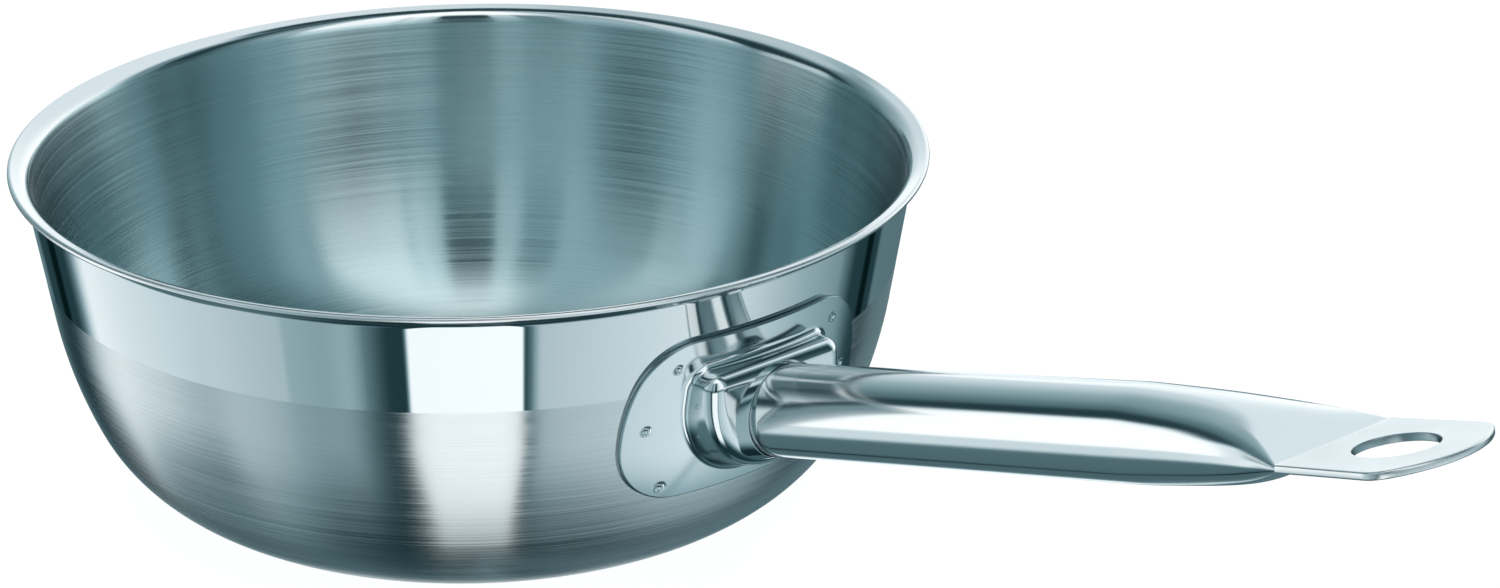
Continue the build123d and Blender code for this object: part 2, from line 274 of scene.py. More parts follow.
@dataclass
class CladSheet:
    """The section of the bowl's clad sheet: base, three arcs, straight wall and bent lip.

    Args:
        height: Height of the bowl.
        rim_radius: Radius of the lip's edge.
        skin: Thickness of each steel skin.
        core: Thickness of the aluminium core.
        arcs: Radius, first slope and last slope of each arc between base and wall.
        wall_slope: Slope of the straight wall.
        lip_bend_radius: Outside radius of the bend under the lip.
        lip_slope: Slope of the lip's flange.
        lip_flange: Length of the flange.
        pole_radius: Radius of the innermost ring of the base.
        counts: Steps of a line over the base, an arc, the wall, the lip's bend and its flange.
        reading_fineness: Fineness of the line that radius and slope are read from.
    """

    height: float = 95.5
    rim_radius: float = 125.0
    skin: float = 0.4
    core: float = 1.0
    arcs: tuple[tuple[float, float, float], ...] = (
        (35.0, 0.0, 25.0),
        (45.6, 25.0, 65.3),
        (120.0, 65.3, 80.4),
    )
    wall_slope: float = 80.4
    lip_bend_radius: float = 3.0
    lip_slope: float = 19.0
    lip_flange: float = 1.8
    pole_radius: float = 0.5
    counts: tuple[int, int, int, int, int] = (14, 22, 12, 20, 3)
    reading_fineness: float = 12.0
    base_radius: float = field(init=False)
    straight: float = field(init=False)

    def __post_init__(self) -> None:
        """Finds the flat base and the straight wall that the arcs and the lip leave."""
        half, lip = self.thickness / 2, math.radians(self.lip_slope)
        wall = math.radians(self.wall_slope)
        out = self.lip_bend_radius * (math.sin(wall) - math.sin(lip)) + self.lip_flange * math.cos(lip)
        rise = self.lip_bend_radius * (math.cos(lip) - math.cos(wall)) + self.lip_flange * math.sin(lip)
        out += half * (1 - math.sin(lip))
        rise += half * (1 + math.cos(lip))
        for radius, start, end in self.arcs:
            out += radius * (math.sin(math.radians(end)) - math.sin(math.radians(start)))
            rise += radius * (math.cos(math.radians(start)) - math.cos(math.radians(end)))
        self.straight = (self.height - rise) / math.sin(wall)
        self.base_radius = self.rim_radius - out - self.straight * math.cos(wall)

    @property
    def thickness(self) -> float:
        """Thickness of the whole sheet."""
        return self.core + 2 * self.skin

    def line(self, depth: float, fineness: float) -> tuple[Array, Array]:
        """One surface of the sheet from near the axis to the end of the lip's flange.

        An arc of radius R that turns from slope s0 to s moves outward by R (sin s - sin s0) and
        up by R (cos s0 - cos s). At a depth inside the sheet R is smaller by it, in the lip larger.

        Args:
            depth: Depth below the outside surface; negative outside it.
            fineness: Share of the usual number of points.

        Returns:
            Points (n, 2) of radius and height, and the slope of the line at each in radians.
        """
        least = 3
        base, arc, wall, bend = (max(least, round(usual * fineness)) for usual in self.counts[:-1])
        flat = np.linspace(self.pole_radius, self.base_radius, base)
        points, slopes = [np.stack([flat, np.full(base, depth)], axis=-1)], [np.zeros(base)]
        runs = [(radius - depth, 0.0, start, end, arc) for radius, start, end in self.arcs]
        runs.append((0.0, self.straight, self.wall_slope, self.wall_slope, wall))
        runs.append((-self.lip_bend_radius - depth, 0.0, self.wall_slope, self.lip_slope, bend))
        runs.append((0.0, self.lip_flange, self.lip_slope, self.lip_slope, self.counts[-1]))
        for radius, length, start, end, count in runs:
            first, angles = math.radians(start), np.radians(np.linspace(start, end, count + 1)[1:])
            turned = np.stack([np.sin(angles) - math.sin(first), math.cos(first) - np.cos(angles)], axis=-1)
            ahead = np.linspace(0, length, count + 1)[1:, None] * np.array([math.cos(first), math.sin(first)])
            points.append(points[-1][-1] + radius * turned + ahead)
            slopes.append(angles)
        return np.vstack(points), np.concatenate(slopes)

    def radius_at(self, heights: Array, lift: float) -> Array:
        """Radius of the surface that lies outside the bowl by a lift.

        Args:
            heights: Heights above the table.
            lift: How far the surface lies outside the bowl's.

        Returns:
            The radius at each height.
        """
        points, _ = self.line(-lift, self.reading_fineness)
        upward = points[:, 1] > -lift
        return np.interp(heights, points[upward, 1], points[upward, 0])

    def slope_at(self, heights: Array) -> Array:
        """Slope of the outside of the bowl.

        Args:
            heights: Heights above the table.

        Returns:
            The slope at each height, in radians.
        """
        points, slopes = self.line(0.0, self.reading_fineness)
        upward = points[:, 1] > 0
        return np.interp(heights, points[upward, 1], slopes[upward])

    def lip_edge(self, depths: Array) -> tuple[Array, Array]:
        """The rounded edge of the lip: a half circle as wide as the sheet, centred on its flange.

        Args:
            depths: Depths below the outside surface.

        Returns:
            Points (n, 2) of radius and height, and unit directions away from the centre.
        """
        half, lip = self.thickness / 2, math.radians(self.lip_slope)
        centre = self.line(half, 1.0)[0][-1]
        across = np.array([-math.sin(lip), math.cos(lip)])
        along = np.array([math.cos(lip), math.sin(lip)])
        off = (depths - half) / half
        away = off[:, None] * across + np.sqrt(np.maximum(1 - off**2, 0))[:, None] * along
        return centre + half * away, away


@dataclass
class BowlLayer:
    """One layer of the bowl's sheet, turned about the bowl's axis.

    Args:
        sheet: The whole sheet.
        outer_depth: Depth of the layer's outer surface below the sheet's outside.
        inner_depth: Depth of its inner surface.
        seen: The side that shows, or None where neither does.
        columns: Points round the bowl.
        hidden_fineness: Fineness of the lines that don't show.
        edge_points: Points over the layer's part of the lip's edge.
    """

    sheet: CladSheet
    outer_depth: float
    inner_depth: float
    seen: Side | None
    columns: int = 288
    hidden_fineness: float = 0.35
    edge_points: int = 9

    def section(self) -> tuple[Array, Array]:
        """Outline of the layer's section, from the axis out along one side and back along the other.

        Returns:
            Points (n, 2) of radius and height, and unit directions out of the layer.
        """
        points, directions = [], []
        for side, depth in ((Side.OUTSIDE, self.outer_depth), (Side.INSIDE, self.inner_depth)):
            line, slopes = self.sheet.line(depth, 1.0 if side is self.seen else self.hidden_fineness)
            away = side.value * np.stack([np.sin(slopes), -np.cos(slopes)], axis=-1)
            points.append(line[:: side.value])
            directions.append(away[:: side.value])
        half = self.sheet.thickness / 2
        ends = np.arccos(np.clip(1 - np.array([self.outer_depth, self.inner_depth]) / half, -1, 1))
        depths = half * (1 - np.cos(np.linspace(*ends, self.edge_points)))
        edge, edge_away = self.sheet.lip_edge(depths)
        points.insert(1, edge)
        directions.insert(1, edge_away)
        return np.vstack(points), np.vstack(directions)

    def turned(self, line: Array) -> Array:
        """Places of the section, each carried round the axis: x = r cos a, y = r sin a, z = height.

        Args:
            line: Places (n, 2) of radius and height.

        Returns:
            Points (n, columns, 3).
        """
        flat = line[:, None, :1] * on_circle(steps(0, 2 * math.pi, self.columns))[None]
        return np.concatenate([flat, np.broadcast_to(line[:, None, 1:], (*flat.shape[:2], 1))], axis=-1)

    def shell(self) -> Shell:
        """The layer's closed surface, with directions that follow the section's formula."""
        points, directions = self.section()
        return Shell(self.turned(points), looped=False, normals=self.turned(directions))


# Handle


@dataclass
class HandleAxis:
    """Where the handle leaves the boss, and how steeply it climbs.

    Args:
        boss_front: Distance of the boss's front from the bowl's axis.
        height: Height of the handle's axis there.
        slope: How steeply the handle climbs.
    """

    boss_front: float
    height: float
    slope: float = 15.4

    @property
    def tilt(self) -> float:
        """The slope in radians."""
        return math.radians(self.slope)

    @property
    def along(self) -> Array:
        """Unit direction along the handle, away from the bowl."""
        return np.array([math.cos(self.tilt), 0.0, math.sin(self.tilt)])

    @property
    def upward(self) -> Array:
        """Unit direction square to the handle, upward."""
        return np.array([-math.sin(self.tilt), 0.0, math.cos(self.tilt)])

    @property
    def origin(self) -> Array:
        """Where the axis leaves the boss's front."""
        return np.array([self.boss_front, 0.0, self.height])

    def place(self, distance: Array, sideways: Array, above: Array) -> Array:
        """Points by how far they lie along the handle, sideways from it and above it.

        Args:
            distance: Distances along the handle from the boss's front.
            sideways: Distances sideways.
            above: Distances square to the handle, upward.

        Returns:
            The points, with three numbers each.
        """
        across = np.array([0.0, 1.0, 0.0])
        level = self.origin + distance[..., None] * self.along + sideways[..., None] * across
        return level + above[..., None] * self.upward


@dataclass
class HandleTube:
    """The hollow tube with its pressed end and flat hanging tab.

    Args:
        axis: The handle's axis.
        radius: Outside radius of the tube.
        wall: Thickness of its wall, and half that of the tab.
        insertion: How far the tube reaches into the boss.
        round_length: Length of the round part.
        press_length: Length of the part that goes from round to flat.
        length_shares: Places of the three tables, as shares of the pressed length.
        height_shares: Share of the round height that is left there.
        spread_shares: Share of the spread to the tab's width there.
        join_shares: Width of the tight side arcs there.
        tab_half_width: Half the tab's width at the crease.
        tab_flare: How much wider each side of the tab is at its far end.
        tip_radius: Radius of the tab's tip.
        tip_centre: Distance of that radius's centre past the crease.
        corner_radius: Radius of the tab's far corners.
        edge_radius: Radius of the tab's edge.
        hole_radius: Radius of the hanging hole.
        hole_distance: Distance of the hole past the crease.
        hole_edge_radius: Radius of the hole's edges.
        tab_root: How far the tab reaches back into the press, and how much narrower it is there.
        counts: Points on the side arcs and on the broad arcs of the tube.
        ring_gap: Distance between rings of the round part.
        press_rings: Rings of the pressed part.
        tab_columns: Points round the tab.
    """

    axis: HandleAxis
    radius: float = 12.1
    wall: float = 1.0
    insertion: float = 3.2
    round_length: float = 129.0
    press_length: float = 60.5
    length_shares: tuple[float, ...] = (0.0, 0.2, 0.4, 0.6, 0.8, 0.9, 1.0)
    height_shares: tuple[float, ...] = (1.0, 0.96, 0.895, 0.78, 0.52, 0.28, 0.0)
    spread_shares: tuple[float, ...] = (0.0, 0.04, 0.115, 0.27, 0.56, 0.77, 1.0)
    join_shares: tuple[float, ...] = (0.5, 0.48, 0.44, 0.38, 0.30, 0.22, 0.12)
    tab_half_width: float = 19.9
    tab_flare: float = 0.8
    tip_radius: float = 28.5
    tip_centre: float = 9.4
    corner_radius: float = 7.0
    edge_radius: float = 0.6
    hole_radius: float = 10.0
    hole_distance: float = 18.6
    hole_edge_radius: float = 0.25
    tab_root: tuple[float, float] = (2.0, 1.6)
    counts: tuple[int, int] = (30, 46)
    ring_gap: float = 3.0
    press_rings: int = 84
    tab_columns: int = 420

    @property
    def crease(self) -> float:
        """Distance along the handle where the pressed end meets the flat tab."""
        return self.round_length + self.press_length

    @property
    def hole_centre(self) -> float:
        """Distance along the handle of the hanging hole."""
        return self.crease + self.hole_distance

    def ring(self, share: float, inset: float) -> Array:
        """The tube's outline at a share of the pressed length.

        Half height, half width and join share are read off the tables by smooth splines.

        Args:
            share: Share of the pressed length.
            inset: How far the outline is drawn in.

        Returns:
            Points (n, 2): sideways and above the axis.
        """
        at, places = np.array([share]), np.array(self.length_shares)
        height_share, spread_share, join_share = (
            float(smooth_table(places, np.array(table), at)[0])
            for table in (self.height_shares, self.spread_shares, self.join_shares)
        )
        half_height = self.wall + (self.radius - self.wall) * height_share - inset
        half_width = self.radius + (self.tab_half_width - self.radius) * spread_share - inset
        return four_arc_oval(half_width, half_height, join_share, self.counts)

    def swept(self, distances: list[float], inset: float) -> list[Array]:
        """Rings of the tube; one with a distance below 0 is the tube's end, cut upright inside the boss.

        Args:
            distances: Distances along the handle.
            inset: How far the rings are drawn in.

        Returns:
            A ring of points for each distance.
        """
        rings = []
        for distance in distances:
            share = max(0.0, (distance - self.round_length) / self.press_length)
            outline = self.ring(share, inset)
            place = np.full(len(outline), distance)
            if distance < 0:
                tilt = self.axis.tilt
                place = (-self.insertion + outline[:, 1] * math.sin(tilt)) / math.cos(tilt)
            rings.append(self.axis.place(place, outline[:, 0], outline[:, 1]))
        return rings

    def tube_shell(self) -> Shell:
        """The tube's outside from inside the boss to the crease, then its inside back again.

        Returns:
            The closed surface.
        """
        end, first, second = -1.0, 5.0, 7.0
        edge_gap, seam = 0.03, 0.3
        pressed = np.linspace(self.round_length, self.crease, self.press_rings)
        outside = [end, first, *np.arange(second, self.round_length, self.ring_gap), *pressed]
        outside.insert(-1, self.crease - edge_gap)
        inside = [self.round_length + self.press_length * share for share in (0.9, 0.8, 0.6, 0.4, 0.2, 0.0)]
        rings = self.swept(outside, 0.0) + self.swept([self.crease + seam], seam)
        rings += self.swept([*inside, first, end], self.wall)
        return Shell(np.array(rings), looped=True)

    def tab_outline(self) -> Array:
        """The flat tab's outline: flared sides, rounded far corners and an arc at the tip.

        Each corner arc touches the side line and the tip arc from inside: its centre lies one
        corner radius in from the line, and the difference of the two radii from the tip's centre.

        Returns:
            Points (n, 2): distance past the crease and sideways, closed.
        """
        far = self.tab_half_width + self.tab_flare
        length = self.tip_centre + math.sqrt(self.tip_radius**2 - far**2)
        start, run = np.array([0.0, self.tab_half_width]), unit(np.array([length, self.tab_flare]))
        inward, tip = np.array([run[1], -run[0]]), np.array([self.tip_centre, 0.0])
        base = start + inward * self.corner_radius - tip
        reach = self.tip_radius - self.corner_radius
        half_b = base @ run
        travel = -half_b + math.sqrt(half_b**2 - base @ base + reach**2)
        centre = tip + base + run * travel
        outward = (centre - tip) / reach
        begin, end = math.atan2(-inward[1], -inward[0]), math.atan2(outward[1], outward[0])
        root_count, side_count, corner_count, tip_count, back_count = 20, 160, 60, 220, 60
        root = start - np.array(self.tab_root) * np.linspace(1, 0.05, root_count)[:, None]
        side = start + run * steps(0, travel, side_count)[:, None]
        corner = centre + self.corner_radius * on_circle(steps(begin, end, corner_count))
        crown = tip + self.tip_radius * on_circle(steps(end, -end, tip_count))
        back = root[0] * np.stack([np.ones(back_count), steps(-1, 1, back_count)], axis=-1)
        right = np.vstack([root, side, corner])
        return np.vstack([right, crown, (right * np.array([1.0, -1.0]))[::-1], back])

    def tab_shell(self) -> Shell:
        """The tab as rings round its hole: hole wall, upper face, rounded rim, lower face.

        Every ring runs round the hole's centre; between hole and outline the points move along
        straight rays. The rim and the hole's edges are quarter circles. The lower half mirrors
        the upper.

        Returns:
            The closed surface.
        """
        outline = self.tab_outline() - np.array([self.hole_distance, 0.0])
        bearing = np.arctan2(outline[:, 1], outline[:, 0])
        turn = steps(-math.pi, math.pi, self.tab_columns)
        order = np.argsort(bearing)
        reach = np.interp(turn, bearing[order], np.hypot(*outline[order].T), period=2 * math.pi)
        hole, edge_points = np.full_like(turn, self.hole_radius), 6
        hole_edge = quarter_round(self.hole_edge_radius, edge_points)
        rim = quarter_round(self.edge_radius, edge_points)
        inner, outer = hole + self.hole_edge_radius, reach - self.edge_radius
        upper = [(hole, 0.0)]
        upper += [(hole + out, self.wall - down) for out, down in hole_edge]
        upper += [(row, self.wall) for row in rows_between(inner, outer, (0.02, 0.3, 0.6, 0.9, 0.98))]
        upper += [(reach - back, self.wall - down) for down, back in rim]
        rings = upper + [(row, -above) for row, above in upper[:0:-1]]
        ahead, sideways = on_circle(turn).T
        points = [
            self.axis.place(self.hole_centre + row * ahead, row * sideways, np.full_like(turn, above))
            for row, above in rings
        ]
        return Shell(np.array(points), looped=True)


@dataclass
class Boss:
    """The raised hollow box of the bracket, square above and round below.

    Args:
        rise: How far its front stands off the bowl, at the height of the handle's axis.
        half_width: Half its width at the front.
        centre_lift: Height of the round part's centre over the handle's axis.
        straight_height: Height of its top over that centre.
        corner_radius: Radius of the upper corners.
        side_draft: How much wider each side is at the root.
        bottom_draft: How much lower the round part's centre is at the root.
        inner_edge_radius: Inside radius of the crest.
        root_radius: Radius of the hollow corner between boss and plate.
        counts: Points of the outline over the half circle, a side, a corner and the top.
    """

    rise: float = 10.1
    half_width: float = 22.2
    centre_lift: float = 7.7
    straight_height: float = 6.2
    corner_radius: float = 4.8
    side_draft: float = 1.2
    bottom_draft: float = 2.5
    inner_edge_radius: float = 2.4
    root_radius: float = 2.0
    counts: tuple[int, int, int, int] = (264, 8, 56, 120)

    @property
    def columns(self) -> int:
        """Points of the whole outline, which has two sides and two corners."""
        return sum(self.counts) + self.counts[1] + self.counts[2]

    def outline(self, behind: Array | float, inset: float) -> Array:
        """Outline at a distance behind the front for each column, drawn in by an inset.

        A half circle below, a short straight and a corner arc on each side, a straight line
        above. Half circle and sides draw out evenly towards the root.

        Args:
            behind: Distance behind the front, one value or one for each column.
            inset: How far the outline is drawn in.

        Returns:
            Points (columns, 2): sideways and above the handle axis.
        """
        behind = np.broadcast_to(np.asarray(behind, float), (self.columns,))
        half_width = self.half_width + self.side_draft * behind / self.rise - inset
        centre = self.centre_lift - self.bottom_draft * behind / self.rise
        corner = self.corner_radius - inset
        corner_x = half_width - corner
        corner_y = self.centre_lift + self.straight_height - self.corner_radius
        below_count, side_count, corner_count, top_count = self.counts
        share = steps(0, 1, side_count)
        right_turn = steps(0, math.pi / 2, corner_count)
        below_turn, left_turn = steps(-math.pi, 0, below_count), right_turn + math.pi / 2
        ends = np.cumsum([below_count, side_count, corner_count, top_count, corner_count])
        below, right, right_corner, top, left_corner, left = np.split(np.arange(self.columns), ends)
        x, y = np.empty(self.columns), np.empty(self.columns)
        x[below] = half_width[below] * np.cos(below_turn)
        y[below] = centre[below] + half_width[below] * np.sin(below_turn)
        x[right] = half_width[right]
        y[right] = centre[right] + share * (corner_y - centre[right])
        x[right_corner] = corner_x[right_corner] + corner * np.cos(right_turn)
        y[right_corner] = corner_y + corner * np.sin(right_turn)
        x[top] = corner_x[top] * steps(1, -1, top_count)
        y[top] = corner_y + corner
        x[left_corner] = -corner_x[left_corner] + corner * np.cos(left_turn)
        y[left_corner] = corner_y + corner * np.sin(left_turn)
        x[left] = -half_width[left]
        y[left] = corner_y + share * (centre[left] - corner_y)
        return np.stack([x, y], axis=-1)


@dataclass
class HandleBracket:
    """The pressed plate that hugs the bowl, with its hollow boss.

    Args:
        sheet: The bowl's sheet.
        axis: The handle's axis.
        tube_radius: Radius of the hole for the tube.
        boss: The boss.
        thickness: Thickness of the plate.
        half_width: Half the plate's width.
        above_axis: How far the plate reaches above the handle's axis.
        below_axis: How far it reaches below.
        widest_drop: How far below the axis it is widest.
        side_radius: Radius of its sides.
        top_corner_radius: Radius of its upper corners.
        bottom_corner_radius: Radius of its lower corners.
        edge_radius: Radius of its rounded edge.
        spot_radius: Radius of the dip for a spot weld.
        spot_depth: Depth of that dip.
        spot_slope: Width of the dip's sloping side.
        spots: Sideways and upward places of the spot welds on the right.
        outside_gap: Gap between the bowl and the foot of the plate's edge.
        inside_gap: Gap between the bowl and the plate's back.
        face_rings: Rings over the plate's face.
        edge_rings: Rings over its rounded edge.
        back_shares: Places of the rings over its back, from the edge to the boss.
        crest_rings: Rings over the outside and over the inside of the boss's crest.
        fillet_rings: Rings over the hollow corner between boss and plate.
    """

    sheet: CladSheet
    axis: HandleAxis
    tube_radius: float
    boss: Boss = field(default_factory=Boss)
    thickness: float = 1.5
    half_width: float = 39.8
    above_axis: float = 22.7
    below_axis: float = 23.6
    widest_drop: float = 3.2
    side_radius: float = 42.0
    top_corner_radius: float = 17.5
    bottom_corner_radius: float = 19.0
    edge_radius: float = 0.35
    spot_radius: float = 1.35
    spot_depth: float = 0.7
    spot_slope: float = 0.5
    spots: tuple[tuple[float, float], ...] = ((26.4, 15.7), (33.4, -0.8), (26.8, -19.0))
    outside_gap: float = 0.05
    inside_gap: float = 0.02
    face_rings: int = 46
    edge_rings: int = 4
    back_shares: tuple[float, ...] = (0.1, 0.4, 0.7, 1.0)
    crest_rings: tuple[int, int] = (12, 5)
    fillet_rings: int = 10

    def spot_places(self) -> Array:
        """Sideways and upward places of the six spot welds, from the handle axis."""
        right = np.array(self.spots)
        return np.vstack([right, right * np.array([-1.0, 1.0])])

    def plate_reach(self, bearing: Array) -> Array:
        """Distance from the handle axis to the plate's edge.

        The right half of the edge is a straight line, a lower corner arc, a broad side arc, an
        upper corner arc and a straight line. A corner's centre lies from the side arc's centre by
        the difference of their radii.

        Args:
            bearing: Bearings round the handle axis, in radians.

        Returns:
            The distance at each bearing.
        """
        line_points, arc_points = 200, 400
        side_x, side_y = self.half_width - self.side_radius, -self.widest_drop
        corners = []
        for radius, y in (
            (self.bottom_corner_radius, self.bottom_corner_radius - self.below_axis),
            (self.top_corner_radius, self.above_axis - self.top_corner_radius),
        ):
            x = side_x + math.sqrt((self.side_radius - radius) ** 2 - (y - side_y) ** 2)
            corners.append(((x, y), math.atan2(y - side_y, x - side_x)))
        (bottom, bottom_angle), (top, top_angle) = corners
        arcs = (
            (bottom, self.bottom_corner_radius, -math.pi / 2, bottom_angle),
            ((side_x, side_y), self.side_radius, bottom_angle, top_angle),
            (top, self.top_corner_radius, top_angle, math.pi / 2),
        )
        level = np.full(line_points, 1.0)
        lines = [np.stack([np.linspace(0, bottom[0], line_points), -self.below_axis * level], axis=-1)]
        for centre, radius, begin, end in arcs:
            lines.append(np.array(centre) + radius * on_circle(np.linspace(begin, end, arc_points)))
        lines.append(np.stack([np.linspace(top[0], 0, line_points), self.above_axis * level], axis=-1))
        right = np.vstack(lines)
        whole = np.vstack([right, right[::-1] * np.array([-1.0, 1.0])])
        angles = np.arctan2(whole[:, 1], whole[:, 0])
        order = np.argsort(angles)
        return np.interp(bearing, angles[order], np.hypot(*whole[order].T), period=2 * math.pi)

    def on_bowl(self, flat: Array, lift: Array | float) -> Array:
        """Points over the bowl's outside.

        The surface's radius at that height, less the sideways part: x = sqrt(r^2 - y^2).

        Args:
            flat: Sideways and upward places from the handle axis.
            lift: How far the points are raised over the bowl.

        Returns:
            The points.
        """
        heights = self.axis.height + flat[:, 1]
        base = self.sheet.radius_at(heights, 0.0)
        full = self.sheet.radius_at(heights, self.thickness)
        radius = base + (full - base) * np.asarray(lift) / self.thickness
        return np.stack([np.sqrt(radius**2 - flat[:, 0] ** 2), flat[:, 0], heights], axis=-1)

    def standing(self, flat: Array, behind: Array | float) -> Array:
        """Points of the boss at sideways and upward places, at a distance behind its front."""
        forward = np.broadcast_to(self.axis.boss_front - np.asarray(behind, float), (len(flat),))
        return np.stack([forward, flat[:, 0], self.axis.height + flat[:, 1]], axis=-1)

    def flattened(self, points: Array) -> Array:
        """Sideways and upward places, from the handle axis, of points."""
        return points[:, 1:] - np.array([0.0, self.axis.height])

    def root_depth(self, inset: float, lift: float) -> Array:
        """How far behind the front the boss's side meets the raised bowl surface, by repeated trial.

        Args:
            inset: How far the boss's outline is drawn in.
            lift: How far the surface is raised over the bowl.

        Returns:
            The distance for each column.
        """
        trials = 25
        behind = np.full(self.boss.columns, self.boss.rise)
        for _ in range(trials):
            meeting = self.on_bowl(self.boss.outline(behind, inset), lift)
            behind = self.axis.boss_front - meeting[:, 0]
        return behind

    def hole(self, behind: float, bearing: Array) -> Array:
        """The edge of the tube's hole.

        The sloping tube cuts an upright plane in an ellipse, taller by one over the cosine.

        Args:
            behind: Distance of the plane behind the boss's front.
            bearing: Bearings round the axis, in radians.

        Returns:
            A point at each bearing.
        """
        flat = on_circle(bearing) / np.array([1.0, math.cos(self.axis.tilt)]) * self.tube_radius
        flat[:, 1] -= behind * math.tan(self.axis.tilt)
        return self.standing(flat, behind)

    def root_fillet(self, root: Array) -> list[Array]:
        """The hollow corner between the boss's side and the plate, a circular arc in each column.

        A rational quadratic through both tangent points, with the corner as its middle point and
        the sine of half the corner's angle as its weight, is exactly that arc. The directions of
        side and plate are read a short way off the corner.

        Args:
            root: How far behind the front the side meets the plate, for each column.

        Returns:
            Rings from the side to the plate.
        """
        up_step, out_step = 3.0, 2.0
        outline = self.boss.outline(root, 0.0)
        corner = self.on_bowl(outline, self.thickness)
        up_side = unit(self.standing(self.boss.outline(root - up_step, 0.0), root - up_step) - corner)
        tangent = np.roll(outline, -1, axis=0) - np.roll(outline, 1, axis=0)
        away = unit(np.stack([tangent[:, 1], -tangent[:, 0]], axis=-1))
        outward = unit(self.on_bowl(outline + out_step * away, self.thickness) - corner)
        half_angle = np.arccos(np.clip(np.sum(up_side * outward, axis=1), -1, 1))[:, None] / 2
        reach = self.boss.root_radius / np.tan(half_angle)
        start, end, weight = corner + up_side * reach, corner + outward * reach, np.sin(half_angle)
        rings = []
        for share in np.linspace(0, 1, self.fillet_rings):
            first, middle, last = (1 - share) ** 2, 2 * share * (1 - share) * weight, share**2
            rings.append((first * start + middle * corner + last * end) / (first + middle + last))
        return rings

    def plate_rings(self, first: Array) -> list[Array]:
        """The plate's face from the fillet to its edge, and its rounded edge down to the bowl.

        Rows run straight from the fillet to the edge over the raised bowl surface, which drops
        smoothly into a shallow pit at each spot weld.

        Args:
            first: Sideways and upward places of the fillet's last ring.

        Returns:
            The rings, from the fillet out.
        """
        bearing = np.arctan2(first[:, 1], first[:, 0])
        reach, radial = self.plate_reach(bearing), on_circle(bearing)
        last = radial * (reach - self.edge_radius)[:, None]
        rings = []
        for flat in rows_between(first, last, (0.012, *np.linspace(0.03, 0.985, self.face_rings), 1.0)):
            gaps = np.linalg.norm(flat[:, None] - self.spot_places()[None], axis=2).min(axis=1)
            dip = self.spot_depth * np.clip((self.spot_radius - gaps) / self.spot_slope, 0, 1)
            rings.append(self.on_bowl(flat, self.thickness - dip))
        for down, back in quarter_round(self.edge_radius, self.edge_rings + 1)[1:]:
            rings.append(self.on_bowl(radial * (reach - back)[:, None], self.thickness - down))
        rings.append(self.on_bowl(radial * reach[:, None], self.outside_gap))
        return rings

    def shell(self) -> Shell:
        """Closed rings from the tube's hole over the boss and the plate, round its edge and back inside.

        Returns:
            The closed surface.
        """
        boss, thick = self.boss, self.thickness
        crest = boss.inner_edge_radius + thick
        bearing = np.arctan2(*boss.outline(0.0, crest)[:, ::-1].T)
        front_edge, rim = self.hole(0.0, bearing), self.standing(boss.outline(0.0, crest), 0.0)
        rings = rows_between(front_edge, rim, (0.0, 0.1, 0.35, 0.6, 0.85, 0.97))
        for behind, inset in quarter_round(crest, self.crest_rings[0]):
            rings.append(self.standing(boss.outline(behind, inset), behind))
        fillet = self.root_fillet(self.root_depth(0.0, thick))
        rings += rows_between(rings[-1], fillet[0], (0.03, 0.35, 0.7, 0.97))
        rings += fillet
        rings += self.plate_rings(self.flattened(fillet[-1]))
        inner = boss.outline(self.root_depth(thick, 0.0), thick)
        back = rows_between(self.flattened(rings[-1]), inner, self.back_shares)
        rings += [self.on_bowl(row, self.inside_gap) for row in back]
        for behind, inset in thick + quarter_round(boss.inner_edge_radius, self.crest_rings[1])[::-1]:
            rings.append(self.standing(boss.outline(behind, inset), behind))
        rings.append(self.hole(thick, bearing))
        return Shell(np.array(rings), looped=True)

    def cut_edge(self, shell: Shell) -> slice:
        """The faces of the plate's cut edge: its rounding, its upright part and the first row behind.

        Args:
            shell: The bracket's shell, which ends with the back, the inside of the crest and the hole.

        Returns:
            The faces' numbers.
        """
        rows, columns = shell.rings.shape[:2]
        end = rows - len(self.back_shares) - self.crest_rings[1] - 1
        return slice((end - self.edge_rings - 2) * columns, end * columns)


